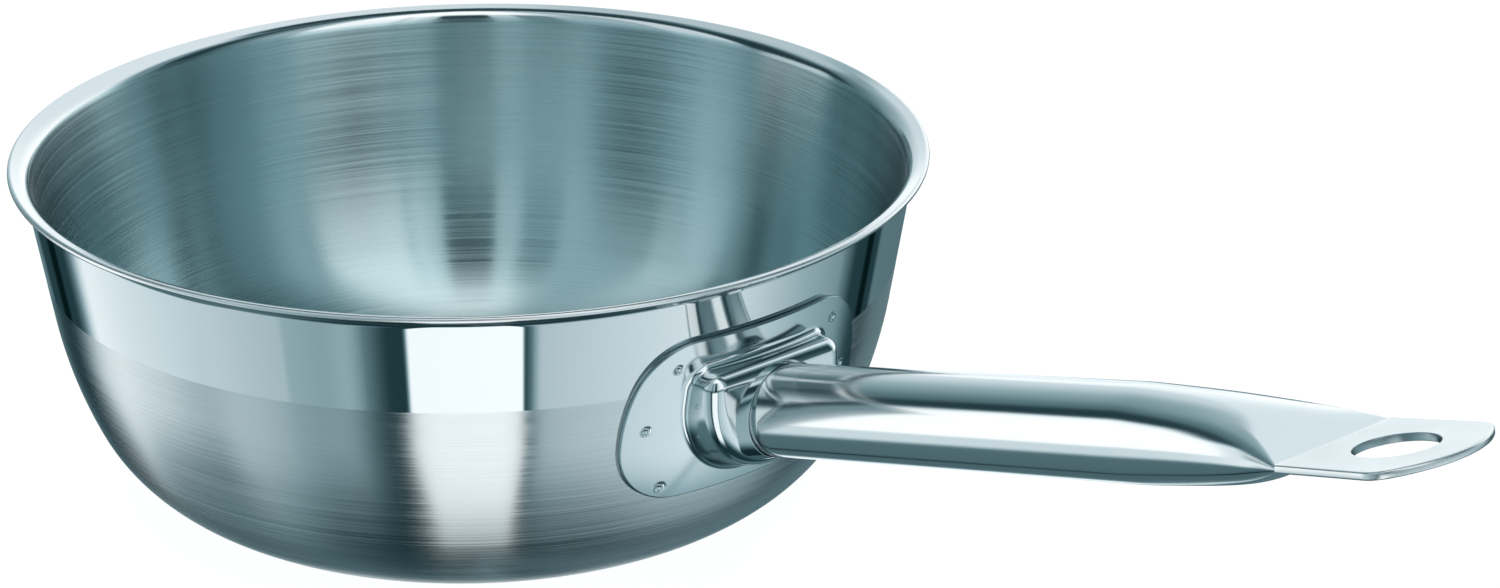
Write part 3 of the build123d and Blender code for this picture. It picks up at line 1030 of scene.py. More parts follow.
@dataclass
class SpotWelds:
    """Round spot welds, each with a small pressed pit, that fill the plate's dips.

    Args:
        bracket: The bracket.
        radius: Radius of a weld.
        pit_radius: Radius of its pit.
        pit_depth: Depth of its pit.
        proud: How far its rim stands over the plate.
        pole_radius: Radius of the innermost rings.
        rim_drops: How far its rim, from the pit out, and its foot lie below its top.
        rim_insets: How far those lie inside its radius, down to the foot.
        pit_rings: Rings of the pit.
        columns: Points round a weld.
    """

    bracket: HandleBracket
    radius: float = 1.4
    pit_radius: float = 1.0
    pit_depth: float = 0.4
    proud: float = 0.02
    pole_radius: float = 0.05
    rim_drops: tuple[float, ...] = (0.0, 0.0, 0.01, 0.05, 0.5, 0.5)
    rim_insets: tuple[float, ...] = (0.34, 0.05, 0.0, 0.0, 0.0, 1.35)
    pit_rings: int = 10
    columns: int = 40

    def shell(self, sideways: float, above: float) -> Shell:
        """One weld: a spherical pit, a narrow flat rim and a buried foot, round the plate's normal.

        At a distance r from its centre the pit lies depth - R + sqrt(R^2 - r^2) below the top,
        where R is the radius of the ball that presses a pit of that depth and radius.

        Args:
            sideways: Distance sideways from the handle axis.
            above: Distance above it.

        Returns:
            The closed surface.
        """
        sheet, height = self.bracket.sheet, np.array([self.bracket.axis.height + above])
        radius, slope = float(sheet.radius_at(height, 0.0)[0]), float(sheet.slope_at(height)[0])
        turn = math.asin(sideways / radius)
        centre = np.array([radius * math.cos(turn), sideways, height[0]])
        out = np.array([math.cos(turn), math.sin(turn), 0.0])
        level = np.array([-math.sin(turn), math.cos(turn), 0.0])
        normal = math.sin(slope) * out - math.cos(slope) * np.array([0.0, 0.0, 1.0])
        circle = on_circle(steps(0, 2 * math.pi, self.columns)) @ np.array([level, np.cross(normal, level)])
        ball = (self.pit_radius**2 + self.pit_depth**2) / (2 * self.pit_depth)
        pit = np.linspace(self.pole_radius, self.pit_radius, self.pit_rings)
        pit_drops = self.pit_depth - ball + np.sqrt(ball**2 - pit**2)
        reach = np.concatenate([pit, self.radius - np.array(self.rim_insets)])
        lift = self.bracket.thickness + self.proud - np.concatenate([pit_drops, self.rim_drops])
        rings = centre + reach[:, None, None] * circle[None] + lift[:, None, None] * normal
        return Shell(rings, looped=False)

    def shells(self) -> list[Shell]:
        """All six welds."""
        return [self.shell(*place) for place in self.bracket.spot_places()]


@dataclass
class SocketWeld:
    """The polished ring of weld in the corner between the boss and the tube.

    Args:
        axis: The handle's axis.
        tube_radius: Radius of the tube.
        length: How far the weld reaches along the tube.
        side_width: Its width at the boss, beside the tube.
        top_width: Its width at the boss, above and below the tube.
        toe: Its width at its far end.
        waist_share: Share of the width that is left half way.
        seat_depth: How far it is seated in the boss.
        bite: How far its inside lies within the tube.
        counts: Points on each side arc and on each broad arc.
        rows: Rings of its outside.
    """

    axis: HandleAxis
    tube_radius: float
    length: float = 1.6
    side_width: float = 4.4
    top_width: float = 0.6
    toe: float = 0.2
    waist_share: float = 0.35
    seat_depth: float = 0.75
    bite: float = 0.15
    counts: tuple[int, int] = (36, 36)
    rows: int = 16

    def outline(self, distance: float, width_share: float) -> Array:
        """The weld's upright outline round the climbing tube.

        Args:
            distance: Distance past the boss's front.
            width_share: Share of the width at the boss, 0 for the toe's.

        Returns:
            Points (n, 3).
        """
        tilt, toe = self.axis.tilt, self.toe
        half_width = self.tube_radius + toe + (self.side_width - toe) * width_share
        half_height = self.tube_radius / math.cos(tilt) + toe + (self.top_width - toe) * width_share
        flat = four_arc_oval(half_width, half_height, 0.5, self.counts)
        heights = self.axis.height + distance * math.tan(tilt) + flat[:, 1]
        return np.stack([np.full(len(flat), self.axis.boss_front + distance), flat[:, 0], heights], axis=-1)

    def shell(self) -> Shell:
        """A ring whose outside runs through three ovals: seat, waist and toe.

        Between them each point follows the parabola through its three places. The inside lies
        just within the tube.

        Returns:
            The closed surface.
        """
        seat, toe = self.outline(-self.seat_depth, 1.0), self.outline(self.length, 0.0)
        waist = self.outline(self.length / 2, self.waist_share)
        rings = []
        for share in np.linspace(0, 1, self.rows):
            weights = (2 * (share - 0.5) * (share - 1), -4 * share * (share - 1), 2 * share * (share - 0.5))
            rings.append(weights[0] * seat + weights[1] * waist + weights[2] * toe)
        inward = -(self.toe + self.bite) / self.side_width
        rings += [self.outline(distance, inward) for distance in (self.length, -self.seat_depth)]
        return Shell(np.array(rings), looped=True)


# Finishes


def opaque(colour: Colour) -> tuple[float, float, float, float]:
    """A colour with its full cover."""
    return (*colour, 1.0)


def gained(value: float, gains: tuple[float, float]) -> tuple[float, float]:
    """A value times each of two gains."""
    return value * gains[0], value * gains[1]


class Bench:
    """A workbench for laying out nodes: numbers go into sockets, sockets are linked."""

    def __init__(self, owner: bpy.types.Material | bpy.types.World) -> None:
        """Clears the nodes of a material or a world.

        Args:
            owner: The material or world.
        """
        owner.use_nodes = True
        self.tree = owner.node_tree
        self.tree.nodes.clear()

    def node(self, kind: str, inputs: Inputs | None = None, **settings: object) -> bpy.types.Node:
        """Adds a node.

        Args:
            kind: Blender's name of the node type.
            inputs: Values or sockets by input name or number.
            **settings: Properties of the node.

        Returns:
            The new node.
        """
        node = self.tree.nodes.new(kind)
        for name, value in settings.items():
            setattr(node, name, value)
        for key, value in (inputs or {}).items():
            if isinstance(value, bpy.types.NodeSocket):
                self.tree.links.new(value, node.inputs[key])
            else:
                node.inputs[key].default_value = value
        return node

    def math(self, operation: str, *values: object) -> Socket:
        """A Math node of an operation on values or sockets."""
        return self.node("ShaderNodeMath", dict(enumerate(values)), operation=operation).outputs[0]

    def product(self, first: object, *others: object) -> object:
        """Values or sockets multiplied together.

        Args:
            first: The first factor.
            *others: The other factors.

        Returns:
            The product.
        """
        for other in others:
            first = self.math("MULTIPLY", first, other)
        return first

    def length(self, first: Socket, second: Socket) -> Socket:
        """The root of the sum of two squares."""
        return self.math("SQRT", self.math("ADD", self.product(first, first), self.product(second, second)))

    def spread(self, value: Socket, within: tuple[float, float], onto: tuple[float, float]) -> Socket:
        """A value carried evenly from one range onto another."""
        names = ("Value", "From Min", "From Max", "To Min", "To Max")
        return self.node("ShaderNodeMapRange", dict(zip(names, (value, *within, *onto)))).outputs[0]

    def between(self, value: Socket, low: float, high: float) -> Socket:
        """A smooth step from 0 at low to 1 at high."""
        inputs = {"Value": value, "From Min": low, "From Max": high}
        return self.node("ShaderNodeMapRange", inputs, interpolation_type="SMOOTHERSTEP").outputs[0]

    def edge(self, value: Socket, line: float, softness: float) -> Socket:
        """A smooth step to 1 past a line in millimetres, or to 0 where the softness is negative."""
        return self.between(value, (line - softness) * MILLIMETRE, (line + softness) * MILLIMETRE)

    def blend(self, share: Socket, first: object, second: object) -> Socket:
        """A number that goes from the first value to the second as the share goes from 0 to 1."""
        return self.node("ShaderNodeMix", {0: share, 2: first, 3: second}, data_type="FLOAT").outputs[0]

    def blend_colours(self, share: Socket, first: object, second: object) -> Socket:
        """A colour that goes from the first to the second as the share goes from 0 to 1."""
        return self.node("ShaderNodeMix", {0: share, 6: first, 7: second}, data_type="RGBA").outputs[2]

    def blend_shaders(self, share: object, first: bpy.types.Node, second: bpy.types.Node) -> bpy.types.Node:
        """A shader that goes from the first to the second as the share goes from 0 to 1."""
        return self.node("ShaderNodeMixShader", {0: share, 1: first.outputs[0], 2: second.outputs[0]})

    def noise(self, place: Socket, scale: float, detail: float) -> Socket:
        """Plain noise from 0 to 1 at a place."""
        return self.node("ShaderNodeTexNoise", {"Vector": place, "Scale": scale, "Detail": detail}).outputs[0]

    def bump(self, height: Socket, distance: float) -> bpy.types.Node:
        """Unevenness that is as high as a distance in metres."""
        return self.node("ShaderNodeBump", {"Height": height, "Strength": 1.0, "Distance": distance})


@dataclass(frozen=True)
class SteelFinish:
    """A finish of the pan's metal, which is steel but for the aluminium core.

    Args:
        name: Name of the material.
        colour: Base colour, linear.
        polished: Roughness where the metal is polished.
        brushed: Roughness where it is brushed.
        stretch: Anisotropy of the reflection.
        wave_height: Height in metres of slow unevenness.
        wave_scale: Waves per metre of that unevenness.
        line_height: Height in metres of the brushing lines.
        polished_colour: Base colour where the steel is polished, if it is another.
    """

    name: str
    colour: Colour
    polished: float
    brushed: float
    stretch: float
    wave_height: float
    wave_scale: float
    line_height: float
    polished_colour: Colour | None = None


class Zone(Enum):
    """Where a finish is brushed."""

    BELOW_LINE = "below the turned line of the bowl"
    BELOW_LIP = "inside the bowl up to the lip"
    TAB = "on the flat hanging tab"
    NOWHERE = "nowhere"


OUTSIDE = SteelFinish("outside_steel", (0.64, 0.68, 0.69), 0.035, 0.2, 1.0, 3e-6, 14.0, 3.5e-6)
INSIDE = SteelFinish(
    "inside_steel", (0.51, 0.64, 0.66), 0.08, 0.22, 1.0, 2e-6, 14.0, 5e-6, polished_colour=(0.65, 0.68, 0.69)
)
BRACKET = SteelFinish("bracket_steel", (0.62, 0.68, 0.695), 0.11, 0.2, 0.0, 4e-5, 75.0, 0.0)
TUBE = SteelFinish("tube_steel", (0.65, 0.69, 0.70), 0.12, 0.3, 0.0, 6e-6, 30.0, 0.0)
# The cut edge's dark base colour is painted shade and painted dark reflection; its higher roughness is the
# edge's own dull cut.
CUT_EDGE_PAINTED_SHADE = SteelFinish("cut_edge_painted_shade_steel", (0.25, 0.35, 0.38), 0.22, 0.22, 0.0, 1e-5, 300.0, 0.0)
# The weld finish's darker base colour is painted shade in the spot weld pits and along the socket weld; its
# roughness and ripples are the weld's own.
WELD_PAINTED_SHADE = SteelFinish("weld_steel", (0.38, 0.47, 0.49), 0.09, 0.2, 0.0, 3e-5, 260.0, 0.0)
CORE = SteelFinish("core_aluminium", (0.74, 0.76, 0.77), 0.3, 0.3, 0.0, 1e-6, 60.0, 0.0)


@dataclass(frozen=True)
class SteelMaterial:
    """Lays out the nodes of a finish for a zone of the pan.

    Lines and softnesses are in millimetres. A noise is given by its scale and its detail, and
    gains are the factors at its low and high end.

    Args:
        finish: The finish.
        zone: Where it is brushed.
        tube: The handle's tube, with its tab and hanging hole.
        turned_line: Height and softness of the turned line round the bowl.
        lip_line: Height and softness of the line where the brushing inside ends.
        tab_line: Distance past the crease, and softness, of the line where the tab's satin starts.
        hole_line: Distance past the hanging hole's radius, and softness, of the end of the darker punched
            wall.
        hole_colour: Colour of that wall.
        line_scale: Waves of the lines' noise per metre of height.
        line_drift: How fast the lines change round the bowl, per metre.
        line_lean: What a metre of radius counts for against one of height.
        line_detail: Detail of the lines.
        line_ends: Noise of the grooves' floor and of the ridges' top.
        line_gains: Gains of the colour there.
        wave_detail: Detail of the slow unevenness.
        smudge: Noise of the roughness of polished steel.
        smudge_ends: Low and high end of that noise.
        smudge_gains: Gains of the roughness there.
        satin: Noise of brushed steel that shows no lines.
        brushed_ends: Low and high end of the noise in brushed steel.
        brushed_gains: Gains of its roughness there.
        stretch_turn: Turn of the stretched reflection, as a share of a full turn.
    """

    finish: SteelFinish
    zone: Zone
    tube: HandleTube
    turned_line: tuple[float, float] = (66.5, 0.12)
    lip_line: tuple[float, float] = (92.6, 0.4)
    tab_line: tuple[float, float] = (0.5, 2.0)
    hole_line: tuple[float, float] = (0.12, 0.08)
    hole_colour: Colour = (0.3, 0.38, 0.4)
    line_scale: float = 2000.0
    line_drift: float = 9.0
    line_lean: float = 0.8
    line_detail: float = 4.0
    line_ends: tuple[float, float] = (0.32, 0.68)
    line_gains: tuple[float, float] = (0.93, 1.04)
    wave_detail: float = 1.5
    smudge: tuple[float, float] = (26.0, 3.0)
    smudge_ends: tuple[float, float] = (0.0, 1.0)
    smudge_gains: tuple[float, float] = (0.8, 1.25)
    satin: tuple[float, float] = (45.0, 2.0)
    brushed_ends: tuple[float, float] = (0.25, 0.75)
    brushed_gains: tuple[float, float] = (0.72, 1.28)
    stretch_turn: float = 0.25

    def along(self, bench: Bench, place: bpy.types.Node, past: float) -> Socket:
        """How far a place lies along the handle: its part along the axis, less that of a start.

        Args:
            bench: The workbench.
            place: A Separate XYZ node of the place in metres.
            past: Distance of the start past the boss's front, in millimetres.

        Returns:
            The distance past the start, in metres.
        """
        axis = self.tube.axis
        start = (float(axis.origin @ axis.along) + past) * MILLIMETRE
        upward = bench.product(place.outputs["Z"], float(axis.along[2]))
        along = bench.math("MULTIPLY_ADD", place.outputs["X"], float(axis.along[0]), upward)
        return bench.math("SUBTRACT", along, start)

    def brushed_share(self, bench: Bench, place: bpy.types.Node) -> Socket | None:
        """1 where the steel is brushed, 0 where it is polished, or None where nothing is brushed.

        Args:
            bench: The workbench.
            place: A Separate XYZ node of the place in metres.

        Returns:
            The share, or None.
        """
        for zone, (line, softness) in ((Zone.BELOW_LINE, self.turned_line), (Zone.BELOW_LIP, self.lip_line)):
            if self.zone is zone:
                return bench.edge(place.outputs["Z"], line, -softness)
        if self.zone is Zone.TAB:
            return bench.edge(self.along(bench, place, self.tube.crease), *self.tab_line)
        return None

    def lines(self, bench: Bench, place: bpy.types.Node) -> Socket:
        """Fine lines round the bowl's axis, by noise over height and radius.

        Args:
            bench: The workbench.
            place: A Separate XYZ node of the place in metres.

        Returns:
            The noise, from 0 to 1.
        """
        x, y, z = place.outputs
        path = bench.math("MULTIPLY_ADD", bench.length(x, y), self.line_lean, z)
        parts = (
            bench.product(x, self.line_drift),
            bench.product(y, self.line_drift),
            bench.product(path, self.line_scale),
        )
        vector = bench.node("ShaderNodeCombineXYZ", dict(enumerate(parts))).outputs[0]
        return bench.noise(vector, 1.0, self.line_detail)

    def tint(self, bench: Bench, share: Socket, grain: Socket) -> Socket:
        """The colour of brushed steel, darker in the lines' grooves, and plain where it is polished.

        Args:
            bench: The workbench.
            share: 1 where the steel is brushed.
            grain: The lines.

        Returns:
            The colour.
        """
        finish = self.finish
        groove, ridge = (opaque(tuple(value * gain for value in finish.colour)) for gain in self.line_gains)
        brushed = bench.blend_colours(bench.between(grain, *self.line_ends), groove, ridge)
        return bench.blend_colours(share, opaque(finish.polished_colour or finish.colour), brushed)

    def punched(self, bench: Bench, place: bpy.types.Node) -> Socket:
        """The tube's colour, darker in the punched wall of the hanging hole, which the way to its axis tells.

        Args:
            bench: The workbench.
            place: A Separate XYZ node of the place in metres.

        Returns:
            The colour.
        """
        reach = bench.length(self.along(bench, place, self.tube.hole_centre), place.outputs["Y"])
        margin, softness = self.hole_line
        wall = bench.edge(reach, self.tube.hole_radius + margin, -softness)
        # The wall of the hanging hole is drawn in a darker colour.
        return bench.blend_colours(wall, opaque(self.finish.colour), opaque(self.hole_colour))

    def make(self) -> bpy.types.Material:
        """Makes the material.

        Returns:
            The material, ready for a piece's slot.
        """
        finish = self.finish
        material = bpy.data.materials.new(finish.name)
        bench = Bench(material)
        point = bench.node("ShaderNodeTexCoord").outputs["Object"]
        place = bench.node("ShaderNodeSeparateXYZ", {0: point})
        share = self.brushed_share(bench, place)
        colour: object = opaque(finish.colour)
        bump = bench.bump(bench.noise(point, finish.wave_scale, self.wave_detail), finish.wave_height)
        smudge = bench.noise(point, *self.smudge)
        rough = bench.spread(smudge, self.smudge_ends, gained(finish.polished, self.smudge_gains))
        if share is not None:
            grain = self.lines(bench, place) if finish.line_height else bench.noise(point, *self.satin)
            brushed = bench.spread(grain, self.brushed_ends, gained(finish.brushed, self.brushed_gains))
            rough = bench.blend(share, rough, brushed)
            if finish.line_height:
                waves = bump
                bump = bench.bump(bench.product(grain, share), finish.line_height)
                bench.tree.links.new(waves.outputs[0], bump.inputs["Normal"])
                colour = self.tint(bench, share, grain)
        if self.zone is Zone.TAB:
            colour = self.punched(bench, place)
        inputs = {
            "Base Color": colour,
            "Metallic": 1.0,
            "Roughness": rough,
            "Normal": bump.outputs[0],
            "Anisotropic": finish.stretch,
            "Anisotropic Rotation": self.stretch_turn,
        }
        shader = bench.node("ShaderNodeBsdfPrincipled", inputs)
        if finish.stretch:
            tangent = bench.node("ShaderNodeTangent", direction_type="RADIAL", axis="Z")
            bench.tree.links.new(tangent.outputs[0], shader.inputs["Tangent"])
        bench.node("ShaderNodeOutputMaterial", {"Surface": shader.outputs[0]})
        return material


# Studio


@dataclass(frozen=True)
class Panel:
    """A pale or dark panel round the pan, by its bearings from the front and its heights, in degrees.

    Args:
        name: What the panel is.
        left: Bearing of its left edge; bearings grow to the picture's right.
        right: Bearing of its right edge.
        low: Height of its lower edge.
        high: Height of its upper edge.
        tone: Its tone at the left edge, from 0 for black to 1 for white.
        far_tone: Its tone at the right edge.
        soft: Softness of the left edge, the right edge, and the lower and upper edges.
        fade: Share of the tone that is lost downwards, and the heights where the loss starts and ends.
    """

    name: str
    left: float
    right: float
    low: float
    high: float
    tone: float
    far_tone: float
    soft: tuple[float, float, float] = (2.0, 2.0, 6.0)
    fade: tuple[float, float, float] | None = None

    def mask(self, bench: Bench, off: Socket, height: Socket) -> Socket:
        """1 inside the panel and 0 outside, with soft edges.

        Args:
            bench: The workbench.
            off: Bearing from the panel's middle.
            height: Height.

        Returns:
            The mask.
        """
        half, (soft_left, soft_right, soft_level) = (self.right - self.left) / 2, self.soft
        return bench.product(
            bench.between(off, -half - soft_left, -half + soft_left),
            bench.between(off, half + soft_right, half - soft_right),
            bench.between(height, self.low - soft_level, self.low + soft_level),
            bench.between(height, self.high + soft_level, self.high - soft_level),
        )

    def shade(self, bench: Bench, off: Socket, height: Socket) -> Socket:
        """The panel's tone, which runs evenly from its left edge to its right and is lost downwards.

        Args:
            bench: The workbench.
            off: Bearing from the panel's middle.
            height: Height.

        Returns:
            The tone.
        """
        half = (self.right - self.left) / 2
        shade = bench.spread(off, (-half, half), (self.tone, self.far_tone))
        if self.fade:
            loss, start, end = self.fade
            kept = bench.math("MULTIPLY_ADD", bench.between(height, start, end), -loss, 1.0)
            shade = bench.product(shade, kept)
        return shade


@dataclass
class Studio:
    """Camera, pale floor, and the panels that the steel reflects.

    Args:
        front: Bearing of the front, from which the panels' bearings are counted.
        lens: Focal length of the lens in millimetres.
        sensor_width: Width of the sensor in millimetres.
        camera_place: Place of the camera.
        camera_bearing: How far the camera is turned.
        camera_drop: How far it looks down.
        brightness: Strength of the panels' light.
        base_tone: Tone between the panels.
        paper: Colour of the pale floor and wall.
        floor_colour: Colour of the floor's glow.
        floor_glow: Strength of that glow.
        glow_share: Share of the glow in what the camera sees of the floor.
        floor_reach: How far the floor reaches to each side.
        floor_drop: How far it lies below the pan.
        lamp_place: Place of the lamp.
        lamp_width: Width of the lamp.
        lamp_power: Power of the lamp in watts.
        tints: Tones, and the colour of the light at each.
        panels: The panels, each laid over those before it.
    """

    front: float = -38.08
    lens: float = 103.9
    sensor_width: float = 36.0
    camera_place: tuple[float, float, float] = (0.8757, -0.6861, 0.4986)
    camera_bearing: float = 48.0
    camera_drop: float = 21.93
    brightness: float = 1.55
    base_tone: float = 0.2
    paper: Colour = (0.93, 0.94, 0.945)
    floor_colour: Colour = (0.97, 0.975, 0.98)
    floor_glow: float = 1.06
    glow_share: float = 0.95
    floor_reach: float = 30.0
    floor_drop: float = 0.0002
    lamp_place: tuple[float, float, float] = (0.2, 0.0, 2.2)
    lamp_width: float = 2.4
    lamp_power: float = 70.0
    tints: tuple[tuple[float, Colour], ...] = (
        (0.0, (0.0, 0.004, 0.004)),
        (0.22, (0.015, 0.04, 0.047)),
        (0.45, (0.10, 0.17, 0.19)),
        (0.65, (0.28, 0.38, 0.41)),
        (0.85, (0.62, 0.69, 0.72)),
        (1.0, (1.0, 1.0, 1.0)),
    )
    panels: tuple[Panel, ...] = (
        Panel("low end on the left", -185, -160, -90, 0, 0.42, 0.4, (4, 4, 6)),
        Panel("low sweep on the left", -133, -31, -90, 4, 0.92, 0.62, (8, 9, 6), (0.86, -40, -73)),
        Panel("low grey card on the left", -56, -41, -90, 4, 0.64, 0.58, (1.5, 6, 6), (0.8, -40, -73)),
        Panel("low shade on the left", -178, -84, -90, -40, 0.33, 0.4, (10, 6, 5), (0.4, -55, -80)),
        Panel("low front box", -19.9, 13.6, -90, 2, 0.955, 0.97, (1.2, 0.8, 6), (0.85, -62, -81)),
        Panel("low sweep on the right", 16, 75, -90, 4, 0.72, 0.88, (3.5, 4, 6), (0.82, -42, -76)),
        Panel("low panel far right", 75, 122, -90, 4, 0.83, 0.5, (4, 6, 6), (0.78, -42, -78)),
        Panel("black flag left", -150, -144, -60, -5, 0.02, 0.02, (2, 1.5, 8)),
        Panel("black flag right", 131.5, 135.5, -60, -5, 0.02, 0.02, (1, 1, 8)),
        Panel("low end on the right", 140, 170, -90, 0, 0.42, 0.35, (2, 4, 6)),
        Panel("background on the right", 105, 190, -6, 62, 0.97, 0.95, (14, 8, 6), (0.1, 4, 32)),
        Panel("background behind", 171, 189, -45, 6, 0.88, 0.88, (3, 3, 4)),
        Panel("background on the left", 186, 238, -18, 34, 0.84, 0.38, (5, 5, 6), (0.25, 10, -14)),
        Panel("background above", 186, 240, 34, 62, 0.74, 0.7, (8, 20, 8)),
        Panel("left box", -112, -84, -24, 17, 1.0, 1.0, (4, 6, 2.5)),
        Panel("high box on the left", -84, -57, 10, 90, 0.8, 0.78, (3, 3, 8)),
        Panel("high sweep on the left", -57, -27, 10, 90, 0.66, 0.66, (3, 2, 8)),
        Panel("high shade on the left", -27, -16, 10, 90, 0.48, 0.48, (2, 2, 8)),
        Panel("high strip on the left", -16, -7, 10, 90, 0.72, 0.72, (2, 1, 8)),
        Panel("high strip on the right", 9, 20, 10, 90, 0.7, 0.95, (1, 3, 8)),
        Panel("high box on the right", 20, 52, 10, 90, 0.92, 0.96, (3, 6, 8)),
        Panel("high end on the right", 52, 80, 10, 90, 0.75, 0.3, (6, 3, 8)),
        Panel("high strip far right", 95, 105, 10, 90, 0.5, 0.5, (3, 3, 8)),
        Panel("box overhead", -34, 42, 58, 90, 1.0, 1.0, (15, 15, 9)),
    )

    def tone_of(self, bench: Bench) -> object:
        """The tone of the studio in each direction: the panels laid over each other in order.

        Bearing is the angle of (x, y) less the front's; height is the arc sine of z.

        Args:
            bench: The workbench.

        Returns:
            The tone.
        """
        direction = bench.node("ShaderNodeTexCoord").outputs["Generated"]
        x, y, z = bench.node("ShaderNodeSeparateXYZ", {0: direction}).outputs
        bearing = bench.math("DEGREES", bench.math("ARCTAN2", y, x))
        height = bench.math("DEGREES", bench.math("ARCSINE", z))
        tone: object = self.base_tone
        for panel in self.panels:
            centre = self.front + (panel.left + panel.right) / 2
            off = bench.math("WRAP", bench.math("SUBTRACT", bearing, centre), -180.0, 180.0)
            tone = bench.blend(panel.mask(bench, off, height), tone, panel.shade(bench, off, height))
        return tone

    def light_world(self) -> None:
        """Lights the pan by the panels, in a cool tint where they are dark; the camera sees a pale wall."""
        world = bpy.data.worlds.new("studio")
        bpy.context.scene.world = world
        bench = Bench(world)
        ramp = bench.node("ShaderNodeValToRGB", {0: self.tone_of(bench)})
        elements = ramp.color_ramp.elements
        for tone, _ in self.tints[1:-1]:
            elements.new(tone)
        for element, (_, colour) in zip(elements, self.tints):
            element.color = opaque(colour)
        lit = bench.node("ShaderNodeBackground", {"Color": ramp.outputs[0], "Strength": self.brightness})
        pale = bench.node("ShaderNodeBackground", {"Color": opaque(self.paper), "Strength": 1.0})
        seen = bench.node("ShaderNodeLightPath").outputs["Is Camera Ray"]
        mixed = bench.blend_shaders(seen, lit, pale)
        bench.node("ShaderNodeOutputWorld", {"Surface": mixed.outputs[0]})
        log.info("studio: %d panels", len(self.panels))

    def lay_floor(self) -> None:
        """Lays the pale floor: nearly even white to the camera, clear from below, unseen by the steel."""
        reach, level = self.floor_reach, -self.floor_drop
        square = ((-reach, -reach), (reach, -reach), (reach, reach), (-reach, reach))
        mesh = bpy.data.meshes.new("floor")
        mesh.from_pydata([(*corner, level) for corner in square], [], [(0, 1, 2, 3)])
        mesh.update()
        floor = bpy.data.objects.new("floor", mesh)
        bpy.context.scene.collection.objects.link(floor)
        material = bpy.data.materials.new("pale_floor")
        bench = Bench(material)
        paper = bench.node("ShaderNodeBsdfDiffuse", {"Color": opaque(self.paper)})
        shine = {"Color": opaque(self.floor_colour), "Strength": self.floor_glow}
        glow = bench.node("ShaderNodeEmission", shine)
        clear = bench.node("ShaderNodeBsdfTransparent")
        below = bench.node("ShaderNodeNewGeometry").outputs["Backfacing"]
        mixed = bench.blend_shaders(below, bench.blend_shaders(self.glow_share, paper, glow), clear)
        bench.node("ShaderNodeOutputMaterial", {"Surface": mixed.outputs[0]})
        mesh.materials.append(material)
        floor.visible_glossy = False
        floor.visible_diffuse = False

    def hang_lamp(self) -> None:
        """Hangs one wide soft lamp over the floor, which the steel doesn't reflect."""
        lamp = bpy.data.lights.new("overhead", "AREA")
        lamp.shape, lamp.size, lamp.energy = "DISK", self.lamp_width, self.lamp_power
        hung = bpy.data.objects.new("overhead", lamp)
        hung.location = self.lamp_place
        hung.visible_glossy = False
        bpy.context.scene.collection.objects.link(hung)

    def set_camera(self) -> None:
        """Sets the camera at the picture's angle."""
        lens = bpy.data.cameras.new("camera")
        lens.sensor_width, lens.lens, lens.sensor_fit = self.sensor_width, self.lens, "HORIZONTAL"
        camera = bpy.data.objects.new("camera", lens)
        turn, drop = math.radians(self.camera_bearing), math.radians(self.camera_drop)
        look = Vector((-math.sin(turn) * math.cos(drop), math.cos(turn) * math.cos(drop), -math.sin(drop)))
        camera.location = self.camera_place
        camera.rotation_euler = look.to_track_quat("-Z", "Y").to_euler()
        bpy.context.scene.collection.objects.link(camera)
        bpy.context.scene.camera = camera

    def build(self) -> None:
        """Sets up the whole studio."""
        self.light_world()
        self.lay_floor()
        self.hang_lamp()
        self.set_camera()
        view = bpy.context.scene.view_settings
        view.view_transform, view.look, view.exposure, view.gamma = "Standard", "None", 0.0, 1.0


# Whole pan


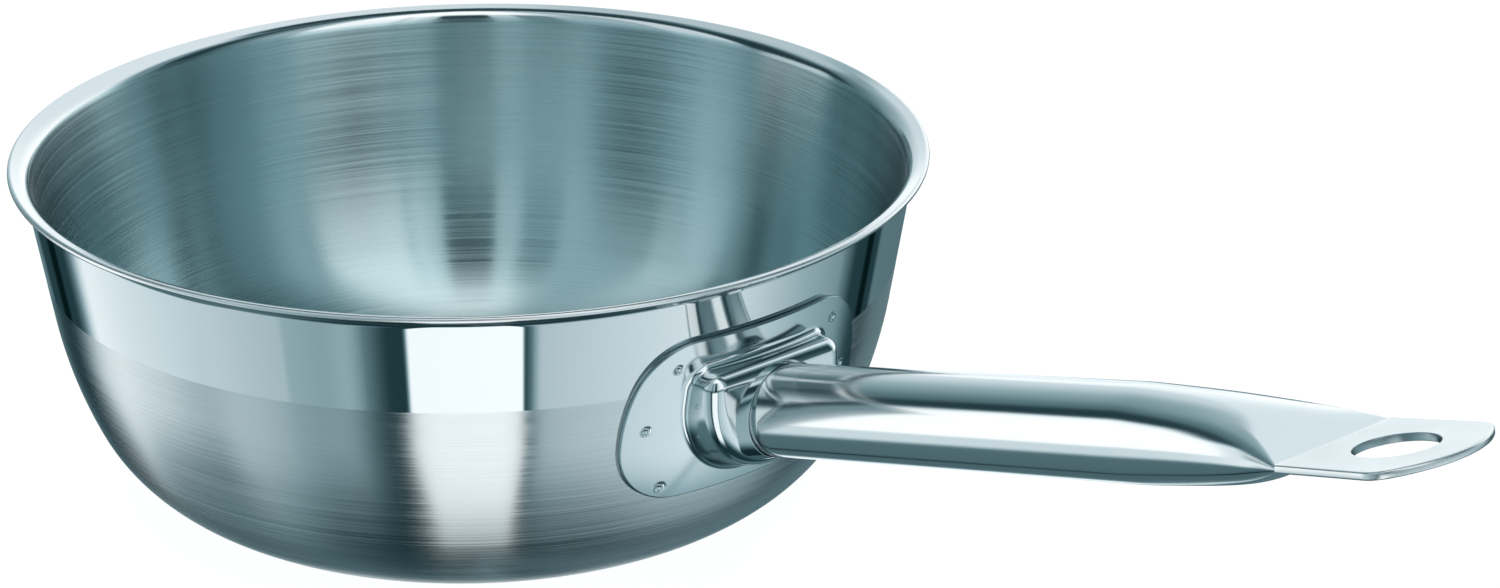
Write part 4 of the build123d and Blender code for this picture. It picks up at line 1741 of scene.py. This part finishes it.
@dataclass
class SaucierPan:
    """The pan with all its pieces.

    Args:
        sheet: The bowl's sheet.
        boss: The bracket's boss.
        handle_height: Height of the handle's axis at the boss's front.
    """

    sheet: CladSheet = field(default_factory=CladSheet)
    boss: Boss = field(default_factory=Boss)
    handle_height: float = 57.3

    def build_bowl(self, tube: HandleTube) -> None:
        """Builds and dresses the three layers of the bowl.

        Args:
            tube: The handle's tube.
        """
        sheet, core_end = self.sheet, self.sheet.skin + self.sheet.core
        outer = BowlLayer(sheet, 0.0, sheet.skin, Side.OUTSIDE)
        core = BowlLayer(sheet, sheet.skin, core_end, None)
        inner = BowlLayer(sheet, core_end, sheet.thickness, Side.INSIDE)
        for name, layer, node, slot, finish, zone in (
            ("outer_skin", outer, "bowl_outer_skin", "outside_polished", OUTSIDE, Zone.BELOW_LINE),
            ("core_sheet", core, "bowl_core", "core_aluminium", CORE, Zone.NOWHERE),
            ("inner_skin", inner, "bowl_inner_skin", "inside_brushed", INSIDE, Zone.BELOW_LIP),
        ):
            dress(make_piece(name, [layer.shell()], [node]), SteelMaterial(finish, zone, tube).make())

    def build_handle(self, tube: HandleTube) -> None:
        """Builds and dresses the bracket, the tube and the welds.

        Args:
            tube: The handle's tube.
        """
        bracket = HandleBracket(self.sheet, tube.axis, tube.radius, self.boss)
        pressing, ring = bracket.shell(), SocketWeld(tube.axis, tube.radius).shell()
        unbrushed = (BRACKET, CUT_EDGE_PAINTED_SHADE, WELD_PAINTED_SHADE)
        polish, cut, weld = (SteelMaterial(finish, Zone.NOWHERE, tube).make() for finish in unbrushed)
        satin = SteelMaterial(TUBE, Zone.TAB, tube).make()
        plate = make_piece("bracket_pressing", [pressing], ["handle_bracket"])
        # The cut edge's material paints shade and dark reflection into its dark base colour.
        dress(plate, polish, cut)
        finishes = np.zeros(len(plate.data.polygons), int)
        finishes[bracket.cut_edge(pressing)] = 1
        plate.data.polygons.foreach_set("material_index", finishes)
        walls = [tube.tube_shell(), tube.tab_shell()]
        dress(make_piece("handle_and_tab", walls, ["handle_tube"]), satin)
        # The weld material paints shade into the socket weld and the spot weld pits through its darker base
        # colour.
        dress(make_piece("socket_weld_ring", [ring], ["socket_weld"]), weld)
        dress(make_piece("spot_weld_dishes", SpotWelds(bracket).shells(), ["spot_welds"]), weld)

    def build(self) -> None:
        """Finds where the handle starts, then builds and dresses each piece."""
        front = float(self.sheet.radius_at(np.array([self.handle_height]), 0.0)[0]) + self.boss.rise
        tube = HandleTube(HandleAxis(front, self.handle_height))
        self.build_bowl(tube)
        self.build_handle(tube)


def main() -> None:
    """Builds the pan, then its studio."""
    logging.basicConfig(level=logging.INFO, format="%(message)s")
    SaucierPan().build()
    Studio().build()


if __name__ == "__main__":
    main()
